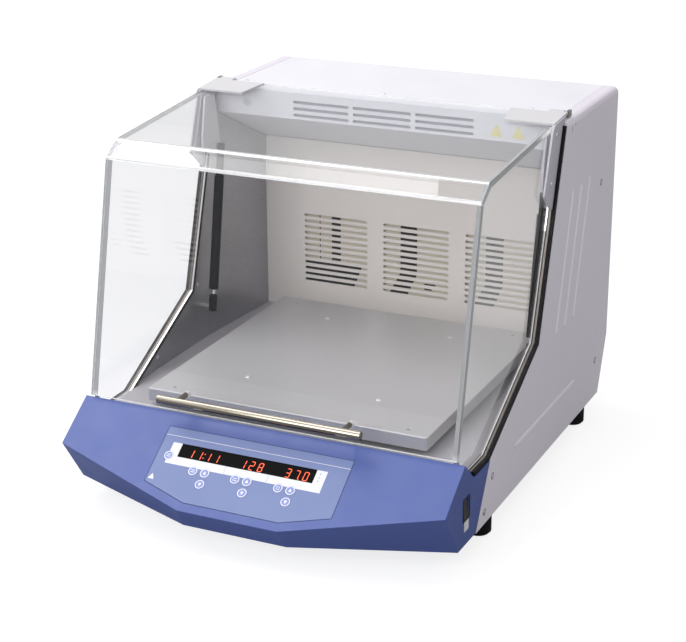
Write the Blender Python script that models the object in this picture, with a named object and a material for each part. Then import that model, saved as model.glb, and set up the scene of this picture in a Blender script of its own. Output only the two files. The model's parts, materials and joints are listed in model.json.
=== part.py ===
"""Incubating orbital shaker for a laboratory bench.

A sheet-metal housing holds a heated chamber under a clear hinged hood. In the chamber a
square platform circles without turning, carried by one driven eccentric and two guide
cranks under the chamber floor. Units are metres, +Z is up and -Y is the front. The origin
is on the bench, under the middle of the machine.
"""

import math

import bmesh
import bpy
from mathutils import Matrix, Vector

for old in list(bpy.data.objects):
    bpy.data.objects.remove(old, do_unlink=True)

# ---------------------------------------------------------------- driving dimensions
HALF_WIDTH = 0.290
REAR_Y = 0.37325
TOP_Z = 0.520
SHEET = 0.0015
GAP = 0.0003

# Side outline of the housing, as (y, z) corners.
TOP_FRONT = (0.12775, TOP_Z)
KNEE = (0.03505, 0.2153)
TRIM_TOP = (-0.15795, 0.1162)
TRIM_BOTTOM = (-0.20715, 0.029)
REAR_BOTTOM = (0.33725, 0.029)
REAR_KNEE = (REAR_Y, 0.118)
TOP_REAR = (REAR_Y, TOP_Z)
EDGE_LEAN = (TOP_FRONT[0] - KNEE[0]) / (TOP_Z - KNEE[1])
FLANGE_X = 0.2803
TOP_SEAM_X = 0.268
COVER_FRONT_Y = 0.16625

# Control housing: its ridge, the notch behind it and the faceted front, as (x, y) from above.
RIDGE = (-0.25175, 0.148)
SHELF_Z = 0.116
NOTCH = (-0.2175, SHELF_Z)
FACE_DROP = 0.694
CORNER_UPPER = (HALF_WIDTH, -0.31945)
CORNER_LOWER = (HALF_WIDTH, -0.27215)
NOSE_UPPER = (0.0748, -REAR_Y)
NOSE_LOWER = (0.0778, -0.35115)
CONTROL_BOTTOM = 0.031
SHELL = 0.003

# Control panel on the sloping face, as (x, y) seen from above.
PANEL_TOP_Y = -0.27115
PANEL_SIDE = (0.1408, -0.34475)
PANEL_NOSE = (0.072, -0.36235)
PANEL_DEPTH = 0.002
PANEL_THICK = 0.0017
WINDOW_X = (-0.110, 0.0955)
WINDOW_Y = (-0.29055, -0.30795)
KEY_RADIUS = 0.0072
KEY_THICK = 0.001
KEY_PROUD = 0.0002
KEY_UPPER_Y = -0.3217
KEY_LOWER_Y = -0.3363
KEY_COLUMNS = {"timer": -0.0595, "speed": 0.0050, "temperature": 0.0699}
KEY_SET_STEP = 0.0182
STANDBY_KEY = (-0.1229, -0.30815)

# Chamber, open to the front and closed by the hood.
CHAMBER_FRONT_X = 0.2788
CHAMBER_REAR_X = 0.2655
CHAMBER_CREASE_Y = 0.088
CHAMBER_REAR_Y = 0.27025
FLOOR_TOP = 0.125
FASCIA_Y = 0.13325
FASCIA_BOTTOM = 0.4735
FASCIA_TOP = 0.5145
CEILING_REAR_Z = 0.4055

# Hood outline, outside, as (y, z) corners from the hinge to the bottom edge.
HOOD_OUTLINE = [(0.14725, 0.5264), (-0.15405, 0.5032), (-0.18535, 0.4836), (-0.2563, 0.152)]
HOOD_HALF = 0.2793
ACRYLIC = 0.008
HINGE = (0.15225, 0.5252)

# Gas springs, between a stud on the chamber wall and a stud on the hood bracket.
SPRING_X = 0.2586
SPRING_LOW = (0.06825, 0.183)
SPRING_HIGH = (0.10825, 0.425)

# Platform and drive.
PLATFORM_HALF = 0.2165
PLATFORM_CENTRE_Y = 0.01425
PLATFORM_TOP = 0.1536
PLATFORM_DEPTH = 0.019
ORBIT_RADIUS = 0.010
DRIVE_Y = PLATFORM_CENTRE_Y + ORBIT_RADIUS
CRANK_X = 0.120
PULLEY_RADIUS = 0.060
MOTOR_PULLEY_RADIUS = 0.020
MOTOR_Y = 0.195
BELT_LOW = 0.046
BELT_HIGH = 0.056
BEARING_GAP = 0.00008

BASE_LOW = 0.0293
BASE_TOP = 0.0313
FOOT_X = 0.270
FOOT_Y = (-0.145, 0.272)
FOOT_TOP = 0.0286

# ---------------------------------------------------------------- materials
FINISHES = {
    "side_paint": ((0.42, 0.41, 0.45), 0.55, 0.1),
    "top_paint": ((0.78, 0.78, 0.81), 0.5, 0.1),
    "chamber_steel": ((0.48, 0.46, 0.44), 0.35, 0.8),
    "bracket_paint": ((0.70, 0.69, 0.70), 0.5, 0.1),
    "blue_plastic": ((0.06, 0.09, 0.33), 0.45, 0.0),
    "panel_film": ((0.42, 0.46, 0.72), 0.4, 0.0),
    "key_film": ((0.75, 0.77, 0.86), 0.4, 0.0),
    "display": ((0.012, 0.008, 0.012), 0.15, 0.0),
    "switch_black": ((0.012, 0.012, 0.013), 0.4, 0.0),
    "rubber": ((0.015, 0.015, 0.016), 0.8, 0.0),
    "acrylic": ((0.93, 0.95, 0.96), 0.03, 0.0),
    "steel": ((0.62, 0.61, 0.60), 0.25, 1.0),
    "aluminium": ((0.42, 0.42, 0.42), 0.35, 0.9),
    "cast_alloy": ((0.45, 0.45, 0.46), 0.55, 0.8),
    "spring_black": ((0.012, 0.012, 0.02), 0.3, 0.2),
    "circuit_green": ((0.02, 0.12, 0.05), 0.5, 0.0),
}


def finish(name):
    """The named material, made on first use."""
    found = bpy.data.materials.get(name)
    if found:
        return found
    colour, roughness, metallic = FINISHES[name]
    made = bpy.data.materials.new(name)
    made.use_nodes = True
    shader = made.node_tree.nodes["Principled BSDF"]
    shader.inputs["Base Color"].default_value = (*colour, 1.0)
    shader.inputs["Roughness"].default_value = roughness
    shader.inputs["Metallic"].default_value = metallic
    if name == "acrylic":
        shader.inputs["Transmission Weight"].default_value = 1.0
        shader.inputs["IOR"].default_value = 1.49
    return made


# ---------------------------------------------------------------- shape helpers
AXES = {
    "X": lambda a, b, c: Vector((c, a, b)),
    "Y": lambda a, b, c: Vector((a, c, b)),
    "Z": lambda a, b, c: Vector((a, b, c)),
}


def add_object(name, bm, material):
    """A mesh object from bm, closed and facing outwards."""
    bmesh.ops.recalc_face_normals(bm, faces=bm.faces)
    if bm.calc_volume(signed=True) < 0:
        bmesh.ops.reverse_faces(bm, faces=bm.faces)
    mesh = bpy.data.meshes.new(name)
    bm.to_mesh(mesh)
    bm.free()
    mesh.shade_smooth()
    mesh.set_sharp_from_angle(angle=math.radians(35))
    mesh.materials.append(finish(material))
    made = bpy.data.objects.new(name, mesh)
    bpy.context.collection.objects.link(made)
    return made


def prism(name, outline, axis, low, high, material="steel"):
    """A straight prism: outline is in the two other axes, in X, Y, Z order."""
    bm = bmesh.new()
    corners = [bm.verts.new(AXES[axis](a, b, low)) for a, b in outline]
    face = bm.faces.new(corners)
    grown = bmesh.ops.extrude_face_region(bm, geom=[face])
    rise = AXES[axis](0, 0, high - low)
    moved = [item for item in grown["geom"] if isinstance(item, bmesh.types.BMVert)]
    bmesh.ops.translate(bm, verts=moved, vec=rise)
    return add_object(name, bm, material)


def circle(centre, radius, segments=24):
    """Corners of a circle about centre."""
    turn = 2 * math.pi / segments
    return [
        (centre[0] + radius * math.cos(i * turn), centre[1] + radius * math.sin(i * turn))
        for i in range(segments)
    ]


def cylinder(name, centre, radius, axis, low, high, material="steel", segments=24):
    """A cylinder along an axis, with centre in the two other axes."""
    return prism(name, circle(centre, radius, segments), axis, low, high, material)


def block(name, low, high, material="steel", turn=None):
    """A box between two corners, turned by the matrix if one is given."""
    size = Vector(high) - Vector(low)
    middle = (Vector(high) + Vector(low)) / 2
    placed = Matrix.Translation(middle) @ Matrix.Diagonal((*size, 1.0))
    bm = bmesh.new()
    bmesh.ops.create_cube(bm, size=1.0, matrix=(turn or Matrix()) @ placed)
    return add_object(name, bm, material)


def rod(name, start, end, radius, material="steel", segments=16):
    """A cylinder from one point to another."""
    start, end = Vector(start), Vector(end)
    along = end - start
    turn = along.to_track_quat("Z", "Y").to_matrix().to_4x4()
    bm = bmesh.new()
    bmesh.ops.create_cone(
        bm,
        cap_ends=True,
        segments=segments,
        radius1=radius,
        radius2=radius,
        depth=along.length,
        matrix=Matrix.Translation((start + end) / 2) @ turn,
    )
    return add_object(name, bm, material)


def slot(start, end, width, steps=3):
    """Outline of a round-ended slot between two end centres."""
    along = math.atan2(end[1] - start[1], end[0] - start[0])
    radius = width / 2
    points = []
    for centre, first in ((end, along - math.pi / 2), (start, along + math.pi / 2)):
        for i in range(steps + 1):
            angle = first + math.pi * i / steps
            points.append((centre[0] + radius * math.cos(angle), centre[1] + radius * math.sin(angle)))
    return points


def offset_line(points, distance):
    """An open polyline moved to its left by distance, with mitred corners."""
    moved = []
    for i, point in enumerate(points):
        here = Vector(point)
        normals = []
        for a, b in ((i - 1, i), (i, i + 1)):
            if 0 <= a and b < len(points):
                along = (Vector(points[b]) - Vector(points[a])).normalized()
                normals.append(Vector((-along.y, along.x)))
        middle = (normals[0] + normals[-1]).normalized()
        moved.append(tuple(here + middle * distance / middle.dot(normals[0])))
    return moved


def inset(outline, distance):
    """A closed counter-clockwise outline moved inwards by distance."""
    wrapped = [outline[-1], *outline, outline[0]]
    return offset_line(wrapped, distance)[1:-1]


def combine(target, tools, operation):
    """Joins tools to target, or cuts them from it, and removes them."""
    for tool in tools:
        tool.hide_render = True
        tool.display_type = "WIRE"
        boolean = target.modifiers.new(operation.title(), "BOOLEAN")
        boolean.operation = operation
        boolean.solver = "EXACT"
        boolean.object = tool
    bpy.context.view_layer.update()
    graph = bpy.context.evaluated_depsgraph_get()
    result = bpy.data.meshes.new_from_object(target.evaluated_get(graph))
    target.modifiers.clear()
    target.data = result
    result.shade_smooth()
    result.set_sharp_from_angle(angle=math.radians(35))
    for tool in tools:
        bpy.data.objects.remove(tool, do_unlink=True)
    return target


def join(target, *tools):
    return combine(target, tools, "UNION")


def cut(target, *tools):
    return combine(target, tools, "DIFFERENCE")


def bevel_edges(target, chosen, width, segments=2):
    """Rounds the edges that chosen(start, end) accepts."""
    bm = bmesh.new()
    bm.from_mesh(target.data)
    edges = [e for e in bm.edges if chosen(e.verts[0].co, e.verts[1].co)]
    bmesh.ops.bevel(
        bm, geom=edges, offset=width, segments=segments, profile=0.5, affect="EDGES", clamp_overlap=True
    )
    bm.to_mesh(target.data)
    bm.free()
    target.data.shade_smooth()
    target.data.set_sharp_from_angle(angle=math.radians(35))
    return target


def mirror_to(target, name):
    """A second object: target reflected to the other side of X = 0."""
    bm = bmesh.new()
    bm.from_mesh(target.data)
    bm.transform(Matrix.Scale(-1, 4, (1, 0, 0)))
    bmesh.ops.reverse_faces(bm, faces=bm.faces)
    return add_object(name, bm, target.data.materials[0].name)


def pivot(name, point):
    """An empty on a joint axis, to carry what moves about it."""
    made = bpy.data.objects.new(name, None)
    made.location = point
    made.empty_display_size = 0.02
    bpy.context.collection.objects.link(made)
    return made


def hang(parent, *children):
    """Puts children under the empty, with their origins on it and their shape unmoved."""
    for child in children:
        child.data.transform(Matrix.Translation(-parent.location))
        child.parent = parent


# ---------------------------------------------------------------- housing
SIDE_OUTLINE = [TOP_FRONT, KNEE, TRIM_TOP, TRIM_BOTTOM, REAR_BOTTOM, REAR_KNEE, TOP_REAR]
BEAD_PROUD = 0.001
BEAD_WIDTH = 0.006
BEAD_STEP = 0.040
UPRIGHT_BEAD = ((0.1106, 0.206), (0.1660, 0.409))
LOW_BEAD = ((-0.0568, 0.095), (0.2062, 0.095))
LATCH_SLOT = ((TOP_FRONT[0] + 0.0205, 0.499), (TOP_FRONT[0] + 0.023, 0.509))
LATCH_HOLE = (TOP_FRONT[0] + 0.036, 0.508)
LATCH_HOLE_RADIUS = 0.002


def round_top_edge(panel, top, outer, radius):
    """Rounds the long edge where the top of a side pan meets its outer face."""

    def chosen(p, q):
        return min(p.z, q.z) > top - 1e-5 and min(p.x, q.x) > outer - 1e-5

    return bevel_edges(panel, chosen, radius, 4)


def side_panel():
    """Right-hand side: a folded pan with a seam flange on top and pressed beads."""
    panel = prism("side_panel_right", SIDE_OUTLINE, "X", FLANGE_X, HALF_WIDTH, "side_paint")
    radius = HALF_WIDTH - FLANGE_X - GAP
    round_top_edge(panel, TOP_Z, HALF_WIDTH, radius)
    hollow = prism("hollow", inset(SIDE_OUTLINE, SHEET), "X", FLANGE_X - SHEET, HALF_WIDTH - SHEET)
    round_top_edge(hollow, TOP_Z - SHEET, HALF_WIDTH - SHEET, radius - SHEET)
    cut(panel, hollow)
    seam_low = (TOP_SEAM_X, HINGE[0] - 0.002, TOP_Z - SHEET)
    tools = [block("seam", seam_low, (FLANGE_X + SHEET, REAR_Y, TOP_Z))]
    beads = [LOW_BEAD]
    for i in range(3):
        beads.append([(y + i * BEAD_STEP, z) for y, z in UPRIGHT_BEAD])
    for start, end in beads:
        outline = slot(start, end, BEAD_WIDTH)
        tools.append(prism("bead", outline, "X", HALF_WIDTH - SHEET / 2, HALF_WIDTH + BEAD_PROUD))
    join(panel, *tools)
    low, high = HALF_WIDTH - 2 * SHEET, HALF_WIDTH + SHEET
    opening = block("slot", (low, *LATCH_SLOT[0]), (high, *LATCH_SLOT[1]))
    hole = cylinder("hole", LATCH_HOLE, LATCH_HOLE_RADIUS, "X", low, high, segments=8)
    return cut(panel, opening, hole)


def vent_rows(name, spans, heights, width, axis, low, high):
    """One cutter for rows of round-ended slots: spans are (x0, x1) pairs."""
    bm = bmesh.new()
    for x0, x1 in spans:
        for z in heights:
            tool = prism("slot", slot((x0, z), (x1, z), width), axis, low, high)
            bm.from_mesh(tool.data)
            bpy.data.objects.remove(tool, do_unlink=True)
    return add_object(name, bm, "steel")


def bent_sheet(name, line, thickness, low, high, material):
    """Sheet metal folded along a (y, z) line, thickness to the line's left."""
    outline = line + offset_line(line, thickness)[::-1]
    return prism(name, outline, "X", low, high, material)


FASCIA_VENT_SPANS = [(-0.144, -0.0557), (-0.045, 0.045), (0.0557, 0.144)]
FASCIA_VENT_ROWS = [0.4804, 0.4903, 0.5002]
GRILLE_SPANS = [(-0.194, -0.0855), (-0.0535, 0.0555), (0.0875, 0.196)]
GRILLE_LOW_ROW = 0.1752
GRILLE_PITCH = 0.0100
GRILLE_ROWS = 12
SLOT_WIDTH = 0.0046
REAR_VENT_SPANS = [(-0.20, -0.08), (0.08, 0.20)]
REAR_VENT_LOW_ROW = 0.150
REAR_VENT_PITCH = 0.014
REAR_VENT_ROWS = 6
REAR_VENT_WIDTH = 0.005
INLET_CUTOUT = (0.0252, 0.0145, 0.01)
COVER_LIP_Z = TOP_Z - 0.004
CEILING_TOP_Y = 0.1735


def housing():
    """Everything that shows from outside, except the control housing and the hood."""
    right = side_panel()
    mirror_to(right, "side_panel_left")

    cover_edge = TOP_SEAM_X - GAP
    lip_y = COVER_FRONT_Y + SHEET
    line = [(REAR_Y, TOP_Z - SHEET), (lip_y, TOP_Z - SHEET), (lip_y, COVER_LIP_Z)]
    bent_sheet("top_cover", line, -SHEET, -cover_edge, cover_edge, "top_paint")

    edge = FLANGE_X - GAP
    skin_top = TOP_Z - SHEET - GAP
    line = [(REAR_Y, skin_top), REAR_KNEE, (REAR_BOTTOM[0], REAR_BOTTOM[1] + SHEET)]
    rear = bent_sheet("rear_panel", line, -SHEET, -edge, edge, "top_paint")
    rows = [REAR_VENT_LOW_ROW + REAR_VENT_PITCH * i for i in range(REAR_VENT_ROWS)]
    low, high = REAR_Y - 3 * SHEET, REAR_Y + SHEET
    vents = vent_rows("vents", REAR_VENT_SPANS, rows, REAR_VENT_WIDTH, "Y", low, high)
    inlet_hole = block("inlet_hole", [-size for size in INLET_CUTOUT], INLET_CUTOUT, turn=inlet_frame())
    cut(rear, vents, inlet_hole)

    front, back = TRIM_BOTTOM[0] + SHEET, REAR_BOTTOM[0] - 2 * SHEET
    block("base_plate", (-edge, front, BASE_LOW), (edge, back, BASE_TOP), "steel")

    face_y = FASCIA_Y + SHEET
    line = [(CEILING_TOP_Y, FASCIA_TOP - SHEET), (face_y, FASCIA_TOP - SHEET)]
    line += [(face_y, FASCIA_BOTTOM + SHEET), (CHAMBER_REAR_Y + 2 * SHEET, CEILING_REAR_Z + SHEET)]
    fascia = bent_sheet("fascia", line, -SHEET, -edge, edge, "top_paint")
    low, high = FASCIA_Y - SHEET, FASCIA_Y + 2 * SHEET
    cut(fascia, vent_rows("vents", FASCIA_VENT_SPANS, FASCIA_VENT_ROWS, SLOT_WIDTH, "Y", low, high))


def wall_x(y):
    """Inner face of the chamber wall: straight in front, closing in behind the crease."""
    back = max(0.0, (y - CHAMBER_CREASE_Y) / (CHAMBER_REAR_Y - CHAMBER_CREASE_Y))
    return CHAMBER_FRONT_X + (CHAMBER_REAR_X - CHAMBER_FRONT_X) * back


WALL_SHEET = 0.0012
WALL_FRONT_Y = -0.1485
WALL_TOP_Y = 0.1258
WALL_FOOT = FLOOR_TOP - 0.004
WALL_CLEAR = 0.0005
BACK_HALF = 0.2798
BACK_BOTTOM = 0.118
BACK_TOP = CEILING_REAR_Z - 0.003
FLOOR_THICK = 0.002
FLOOR_FRONT = [(0.2705, -0.2238), (0.2705, -0.139), (CHAMBER_FRONT_X - WALL_CLEAR, -0.132)]
SHAFT_HOLE = 0.022
CRANK_HOLE = 0.019


def chamber_wall():
    """Right-hand chamber wall, creased where it starts to close in."""
    crease_z = KNEE[1] + (CHAMBER_CREASE_Y - KNEE[0]) / EDGE_LEAN
    crease_low = (CHAMBER_CREASE_Y, WALL_FOOT)
    crease_high = (CHAMBER_CREASE_Y, crease_z)
    front = [(WALL_FRONT_Y, WALL_FOOT), KNEE, crease_high, crease_low]
    under_ceiling = (FASCIA_Y - GAP - SHEET, FASCIA_BOTTOM - WALL_CLEAR)
    rear = [crease_low, crease_high, (WALL_TOP_Y, FASCIA_TOP), (under_ceiling[0], FASCIA_TOP)]
    rear += [under_ceiling, (CHAMBER_REAR_Y, CEILING_REAR_Z - WALL_CLEAR), (CHAMBER_REAR_Y, WALL_FOOT)]
    bm = bmesh.new()
    made = {}
    for corners in (front, rear):
        for y, z in corners:
            if (y, z) not in made:
                made[(y, z)] = bm.verts.new((wall_x(y), y, z))
        bm.faces.new([made[corner] for corner in corners])
    bmesh.ops.triangulate(bm, faces=bm.faces)
    grown = bmesh.ops.extrude_face_region(bm, geom=bm.faces)
    moved = [item for item in grown["geom"] if isinstance(item, bmesh.types.BMVert)]
    bmesh.ops.translate(bm, verts=moved, vec=(WALL_SHEET, 0, 0))
    return add_object("chamber_wall_right", bm, "chamber_steel")


def chamber():
    """Side walls, slotted back wall and floor; the ceiling belongs to the fascia sheet."""
    right = chamber_wall()
    mirror_to(right, "chamber_wall_left")
    back_y = CHAMBER_REAR_Y + GAP
    low, high = (-BACK_HALF, back_y, BACK_BOTTOM), (BACK_HALF, back_y + SHEET, BACK_TOP)
    back = block("chamber_back", low, high, "chamber_steel")
    rows = [GRILLE_LOW_ROW + GRILLE_PITCH * i for i in range(GRILLE_ROWS)]
    cut(back, vent_rows("slots", GRILLE_SPANS, rows, SLOT_WIDTH, "Y", back_y - SHEET, back_y + 2 * SHEET))

    half = [*FLOOR_FRONT, (CHAMBER_FRONT_X - WALL_CLEAR, CHAMBER_CREASE_Y)]
    half.append((CHAMBER_REAR_X - WALL_CLEAR, CHAMBER_REAR_Y))
    outline = half + [(-x, y) for x, y in reversed(half)]
    floor = prism("chamber_floor", outline, "Z", FLOOR_TOP - FLOOR_THICK, FLOOR_TOP, "chamber_steel")
    low, high = FLOOR_TOP - 2 * FLOOR_THICK, FLOOR_TOP + FLOOR_THICK
    holes = [cylinder("hole", (0, DRIVE_Y), SHAFT_HOLE, "Z", low, high)]
    for x in (-CRANK_X, CRANK_X):
        holes.append(cylinder("hole", (x, DRIVE_Y), CRANK_HOLE, "Z", low, high))
    cut(floor, *holes)


SEAL_X = (0.2715, 0.2872)
SEAL_THICK = 0.006
SEAL_TOP = 0.5138
SEAL_TOE_Y = NOTCH[0] + 0.004
HOOD_GAP = 0.0005


def front_edge_y(z):
    """Y of the side panel's upright front edge at a height."""
    return KNEE[0] + (z - KNEE[1]) * EDGE_LEAN


def closing_line():
    """The line on which the hood closes, from under its lid down to the notch."""
    return [(front_edge_y(SEAL_TOP), SEAL_TOP), KNEE, (TRIM_TOP[0], SHELF_Z), (SEAL_TOE_Y, SHELF_Z)]


def opening_seals():
    """Rubber strips on the front edge of each side panel, which the hood closes on."""
    line = closing_line()
    outline = offset_line(line, -GAP) + offset_line(line, -GAP - SEAL_THICK)[::-1]
    seal = prism("opening_seal_right", outline, "X", *SEAL_X, "rubber")
    mirror_to(seal, "opening_seal_left")


FOOT_RADIUS = 0.0185
FOOT_CHAMFER = 0.003


def feet():
    """Four round rubber feet under the base plate."""
    for side, x in (("left", -FOOT_X), ("right", FOOT_X)):
        for end, y in zip(("front", "rear"), FOOT_Y):
            foot = cylinder(f"foot_{end}_{side}", (x, y), FOOT_RADIUS, "Z", 0.0, FOOT_TOP, "rubber", 20)
            bevel_edges(foot, lambda p, q: max(p.z, q.z) < 1e-5, FOOT_CHAMFER, 1)


# ---------------------------------------------------------------- control housing
SLOPE = math.atan(FACE_DROP)
SLOPE_OUT = Vector((0, -math.sin(SLOPE), math.cos(SLOPE)))


def face_point(x, y, above=0.0):
    """A point on the sloping control face, or above it along its normal."""
    return Vector((x, y, RIDGE[1] + FACE_DROP * (y - RIDGE[0]))) + SLOPE_OUT * above


def wedge(name, margin, behind):
    """The control housing's solid shape, shrunk by margin but reaching further behind."""
    drop = margin / math.cos(SLOPE)
    side = HALF_WIDTH - margin
    bottom = CONTROL_BOTTOM + margin
    rows = {
        "ridge": (RIDGE[0], RIDGE[1] - drop),
        "notch": (NOTCH[0] + margin * 0.6, NOTCH[1] - margin),
        "shelf": (TRIM_TOP[0] - GAP + behind, SHELF_Z - margin),
        "back": (TRIM_BOTTOM[0] - GAP + behind, bottom - 0.001),
    }
    nose_in = margin * 0.9
    upper = [(side, CORNER_UPPER[1]), NOSE_UPPER]
    upper = [(-x, y) for x, y in upper] + upper[::-1]
    upper = [face_point(x, y + nose_in) - Vector((0, 0, drop)) for x, y in upper]
    lower = [(side, CORNER_LOWER[1]), NOSE_LOWER]
    lower = [(-x, y) for x, y in lower] + lower[::-1]
    lower = [Vector((x, y + nose_in, bottom)) for x, y in lower]
    bm = bmesh.new()
    upper = [bm.verts.new(p) for p in upper]
    lower = [bm.verts.new(p) for p in lower]
    ends = {}
    for key, (y, z) in rows.items():
        ends[key] = [bm.verts.new((-side, y, z)), bm.verts.new((side, y, z))]
    bm.faces.new(upper + [ends["ridge"][1], ends["ridge"][0]])
    for i in range(3):
        bm.faces.new([upper[i], lower[i], lower[i + 1], upper[i + 1]])
    for near, far in (("ridge", "notch"), ("notch", "shelf"), ("shelf", "back")):
        bm.faces.new([ends[near][0], ends[near][1], ends[far][1], ends[far][0]])
    bm.faces.new(lower[::-1] + [ends["back"][0], ends["back"][1]])
    for i, k in ((0, 0), (3, 1)):
        bm.faces.new([upper[i], lower[i], *(ends[key][k] for key in ("back", "shelf", "notch", "ridge"))])
    bmesh.ops.triangulate(bm, faces=bm.faces)
    return add_object(name, bm, "blue_plastic")


def face_frame(x, y):
    """Placement on the control face: local X across, local Y up the slope, local Z out."""
    return Matrix.Translation(face_point(x, y)) @ Matrix.Rotation(SLOPE, 4, "X")


def face_slab(name, outline, low, high, material):
    """A plate on the control face, its outline in (x, y) seen from above."""
    bm = bmesh.new()
    face = bm.faces.new([bm.verts.new(face_point(x, y, low)) for x, y in outline])
    grown = bmesh.ops.extrude_face_region(bm, geom=[face])
    moved = [item for item in grown["geom"] if isinstance(item, bmesh.types.BMVert)]
    bmesh.ops.translate(bm, verts=moved, vec=SLOPE_OUT * (high - low))
    return add_object(name, bm, material)


def face_disc(name, x, y, radius, low, high, material, segments=16):
    """A round piece on the control face."""
    bm = bmesh.new()
    middle = Matrix.Translation((0, 0, (low + high) / 2))
    bmesh.ops.create_cone(
        bm,
        cap_ends=True,
        segments=segments,
        radius1=radius,
        radius2=radius,
        depth=high - low,
        matrix=face_frame(x, y) @ middle,
    )
    return add_object(name, bm, material)


def panel_outline(grow):
    """Outline of the control panel's recess or film, grown by a margin."""
    half = [(PANEL_NOSE[0], PANEL_NOSE[1] - grow), (PANEL_SIDE[0] + grow, PANEL_SIDE[1] - grow * 0.6)]
    half.append((PANEL_SIDE[0] + grow, PANEL_TOP_Y + grow))
    return half + [(-x, y) for x, y in reversed(half)]


def key_places():
    """Name and (x, y) of every key on the panel."""
    places = {"key_standby": STANDBY_KEY}
    for column, x in KEY_COLUMNS.items():
        places[f"key_{column}_set"] = (x - KEY_SET_STEP, KEY_UPPER_Y)
        places[f"key_{column}_up"] = (x, KEY_UPPER_Y)
        places[f"key_{column}_down"] = (x, KEY_LOWER_Y)
    return places


SWITCH_Y = -0.24525
SWITCH_Z = 0.0835
SWITCH_HALF = (0.0095, 0.0150)
SWITCH_GAP = 0.0006
SWITCH_AXIS_X = 0.2850
BOARD_X = (-0.125, 0.125)
BOARD_Y = (-0.280, -0.340)
BOARD_LEVELS = (-0.0085, -0.0069)


def control_housing():
    """Blue front housing with its recess for the panel and its opening for the switch."""
    shell = wedge("control_housing", 0.0, 0.0)
    inside = wedge("inside", SHELL, 0.02)
    recess = face_slab("recess", panel_outline(GAP), -PANEL_DEPTH, 0.01, "steel")
    middle = Vector((HALF_WIDTH, SWITCH_Y, SWITCH_Z))
    half = Vector((2 * SHELL, SWITCH_HALF[0] + SWITCH_GAP, SWITCH_HALF[1] + SWITCH_GAP))
    cut(shell, inside, recess, block("switch_hole", middle - half, middle + half))


def face_box(name, xs, ys, low, high, material):
    """A rectangular plate on the control face, between two x and two y seen from above."""
    outline = [(xs[0], ys[0]), (xs[1], ys[0]), (xs[1], ys[1]), (xs[0], ys[1])]
    return face_slab(name, outline, low, high, material)


def control_panel():
    """Printed film, display window, keys and the circuit board behind them."""
    low = -PANEL_DEPTH + GAP
    film = face_slab("control_panel", panel_outline(0.0), low, low + PANEL_THICK, "panel_film")
    xs = (WINDOW_X[0] - GAP, WINDOW_X[1] + GAP)
    ys = (WINDOW_Y[0] + GAP, WINDOW_Y[1] - GAP)
    tools = [face_box("window_hole", xs, ys, -0.01, 0.01, "steel")]
    for name, (x, y) in key_places().items():
        tools.append(face_disc("key_hole", x, y, KEY_RADIUS + GAP, -0.01, 0.01, "steel"))
        key = face_disc(name, x, y, KEY_RADIUS, -KEY_THICK, KEY_PROUD, "key_film")
        hang(pivot(f"{name}_travel", face_point(x, y)), key)
    cut(film, *tools)
    face_box("display_window", WINDOW_X, WINDOW_Y, low, low + PANEL_THICK, "display")
    face_box("control_board", BOARD_X, BOARD_Y, *BOARD_LEVELS, "circuit_green")


def power_switch():
    """Rocker in the right side of the control housing, turning about its middle."""
    axis = Vector((SWITCH_AXIS_X, SWITCH_Y, SWITCH_Z))
    half = SWITCH_HALF[1] - 0.0005
    outline = [(-0.004, -0.012), (0.006, -half), (0.004, 0.0), (0.0035, half), (-0.004, 0.012)]
    placed = [(axis.x + x, axis.z + z) for x, z in outline]
    y0, y1 = axis.y - SWITCH_HALF[0], axis.y + SWITCH_HALF[0]
    rocker = prism("power_switch_rocker", placed, "Y", y0, y1, "switch_black")
    hang(pivot("switch_axis", axis), rocker)


# ---------------------------------------------------------------- hood
BRACKET_THICK = 0.003
PLATE_X = HOOD_HALF + HOOD_GAP
ARM_X = (0.2666, 0.2698)
BRACKET_BOLTS = [(0.095, 0.507), (0.078, 0.440)]
BOLT_RADIUS = 0.0035
KNUCKLE_X = (0.2550, 0.2765)
KNUCKLE_RADIUS = 0.0045
PIN_RADIUS = 0.0025
HINGE_BLOCK_WIDE = 0.0047
FLANGE_FRONT_Y = 0.0865
FLANGE_REAR_Y = 0.140
FLANGE_INNER_X = (0.209, 0.199)
PLATE_REAR_Y = 0.1455
PLATE_BACK = 0.0088
PLATE_FOOT = [(0.056, 0.4275), (0.0585, 0.4255)]
PLATE_LOW_Z = 0.4025
PLATE_HIGH_Z = 0.517
ARM_OUTLINE = [
    (0.078, 0.5085),
    (0.106, 0.5085),
    (0.121, 0.428),
    (0.114, 0.416),
    (0.101, 0.416),
    (0.067, 0.431),
    (0.067, 0.450),
]
UPPER_STUD_RADIUS = 0.005
HANDLE_HALF = 0.1537
HANDLE_AXIS = (-0.27975, 0.1766)
HANDLE_RADIUS = 0.006
STANDOFF_X = 0.125


def lid_z(y):
    """Height of the lid's upper surface."""
    (y0, z0), (y1, z1) = HOOD_OUTLINE[:2]
    return z0 + (y - y0) * (z1 - z0) / (y1 - y0)


def hood_side():
    """Right-hand acrylic cheek, under the bent sheet and in front of the seal."""
    inner = offset_line(HOOD_OUTLINE, ACRYLIC + GAP)
    rear = offset_line(closing_line(), -GAP - SEAL_THICK - HOOD_GAP)
    top = (rear[0][0], lid_z(rear[0][0]) - ACRYLIC - 2 * GAP)
    tip = (NOTCH[0] - 0.0015, rear[-1][1])
    toe = (RIDGE[0] + 0.0057, RIDGE[1] - 0.0035)
    outline = [top, *inner[1:], toe, tip, *rear[-2:0:-1], rear[0]]
    side = prism("hood_side_right", outline, "X", HOOD_HALF - ACRYLIC, HOOD_HALF, "acrylic")
    low, high = HOOD_HALF - 2 * ACRYLIC, HOOD_HALF + ACRYLIC
    radius = BOLT_RADIUS + HOOD_GAP
    return cut(side, *(cylinder("hole", at, radius, "X", low, high, segments=12) for at in BRACKET_BOLTS))


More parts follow.
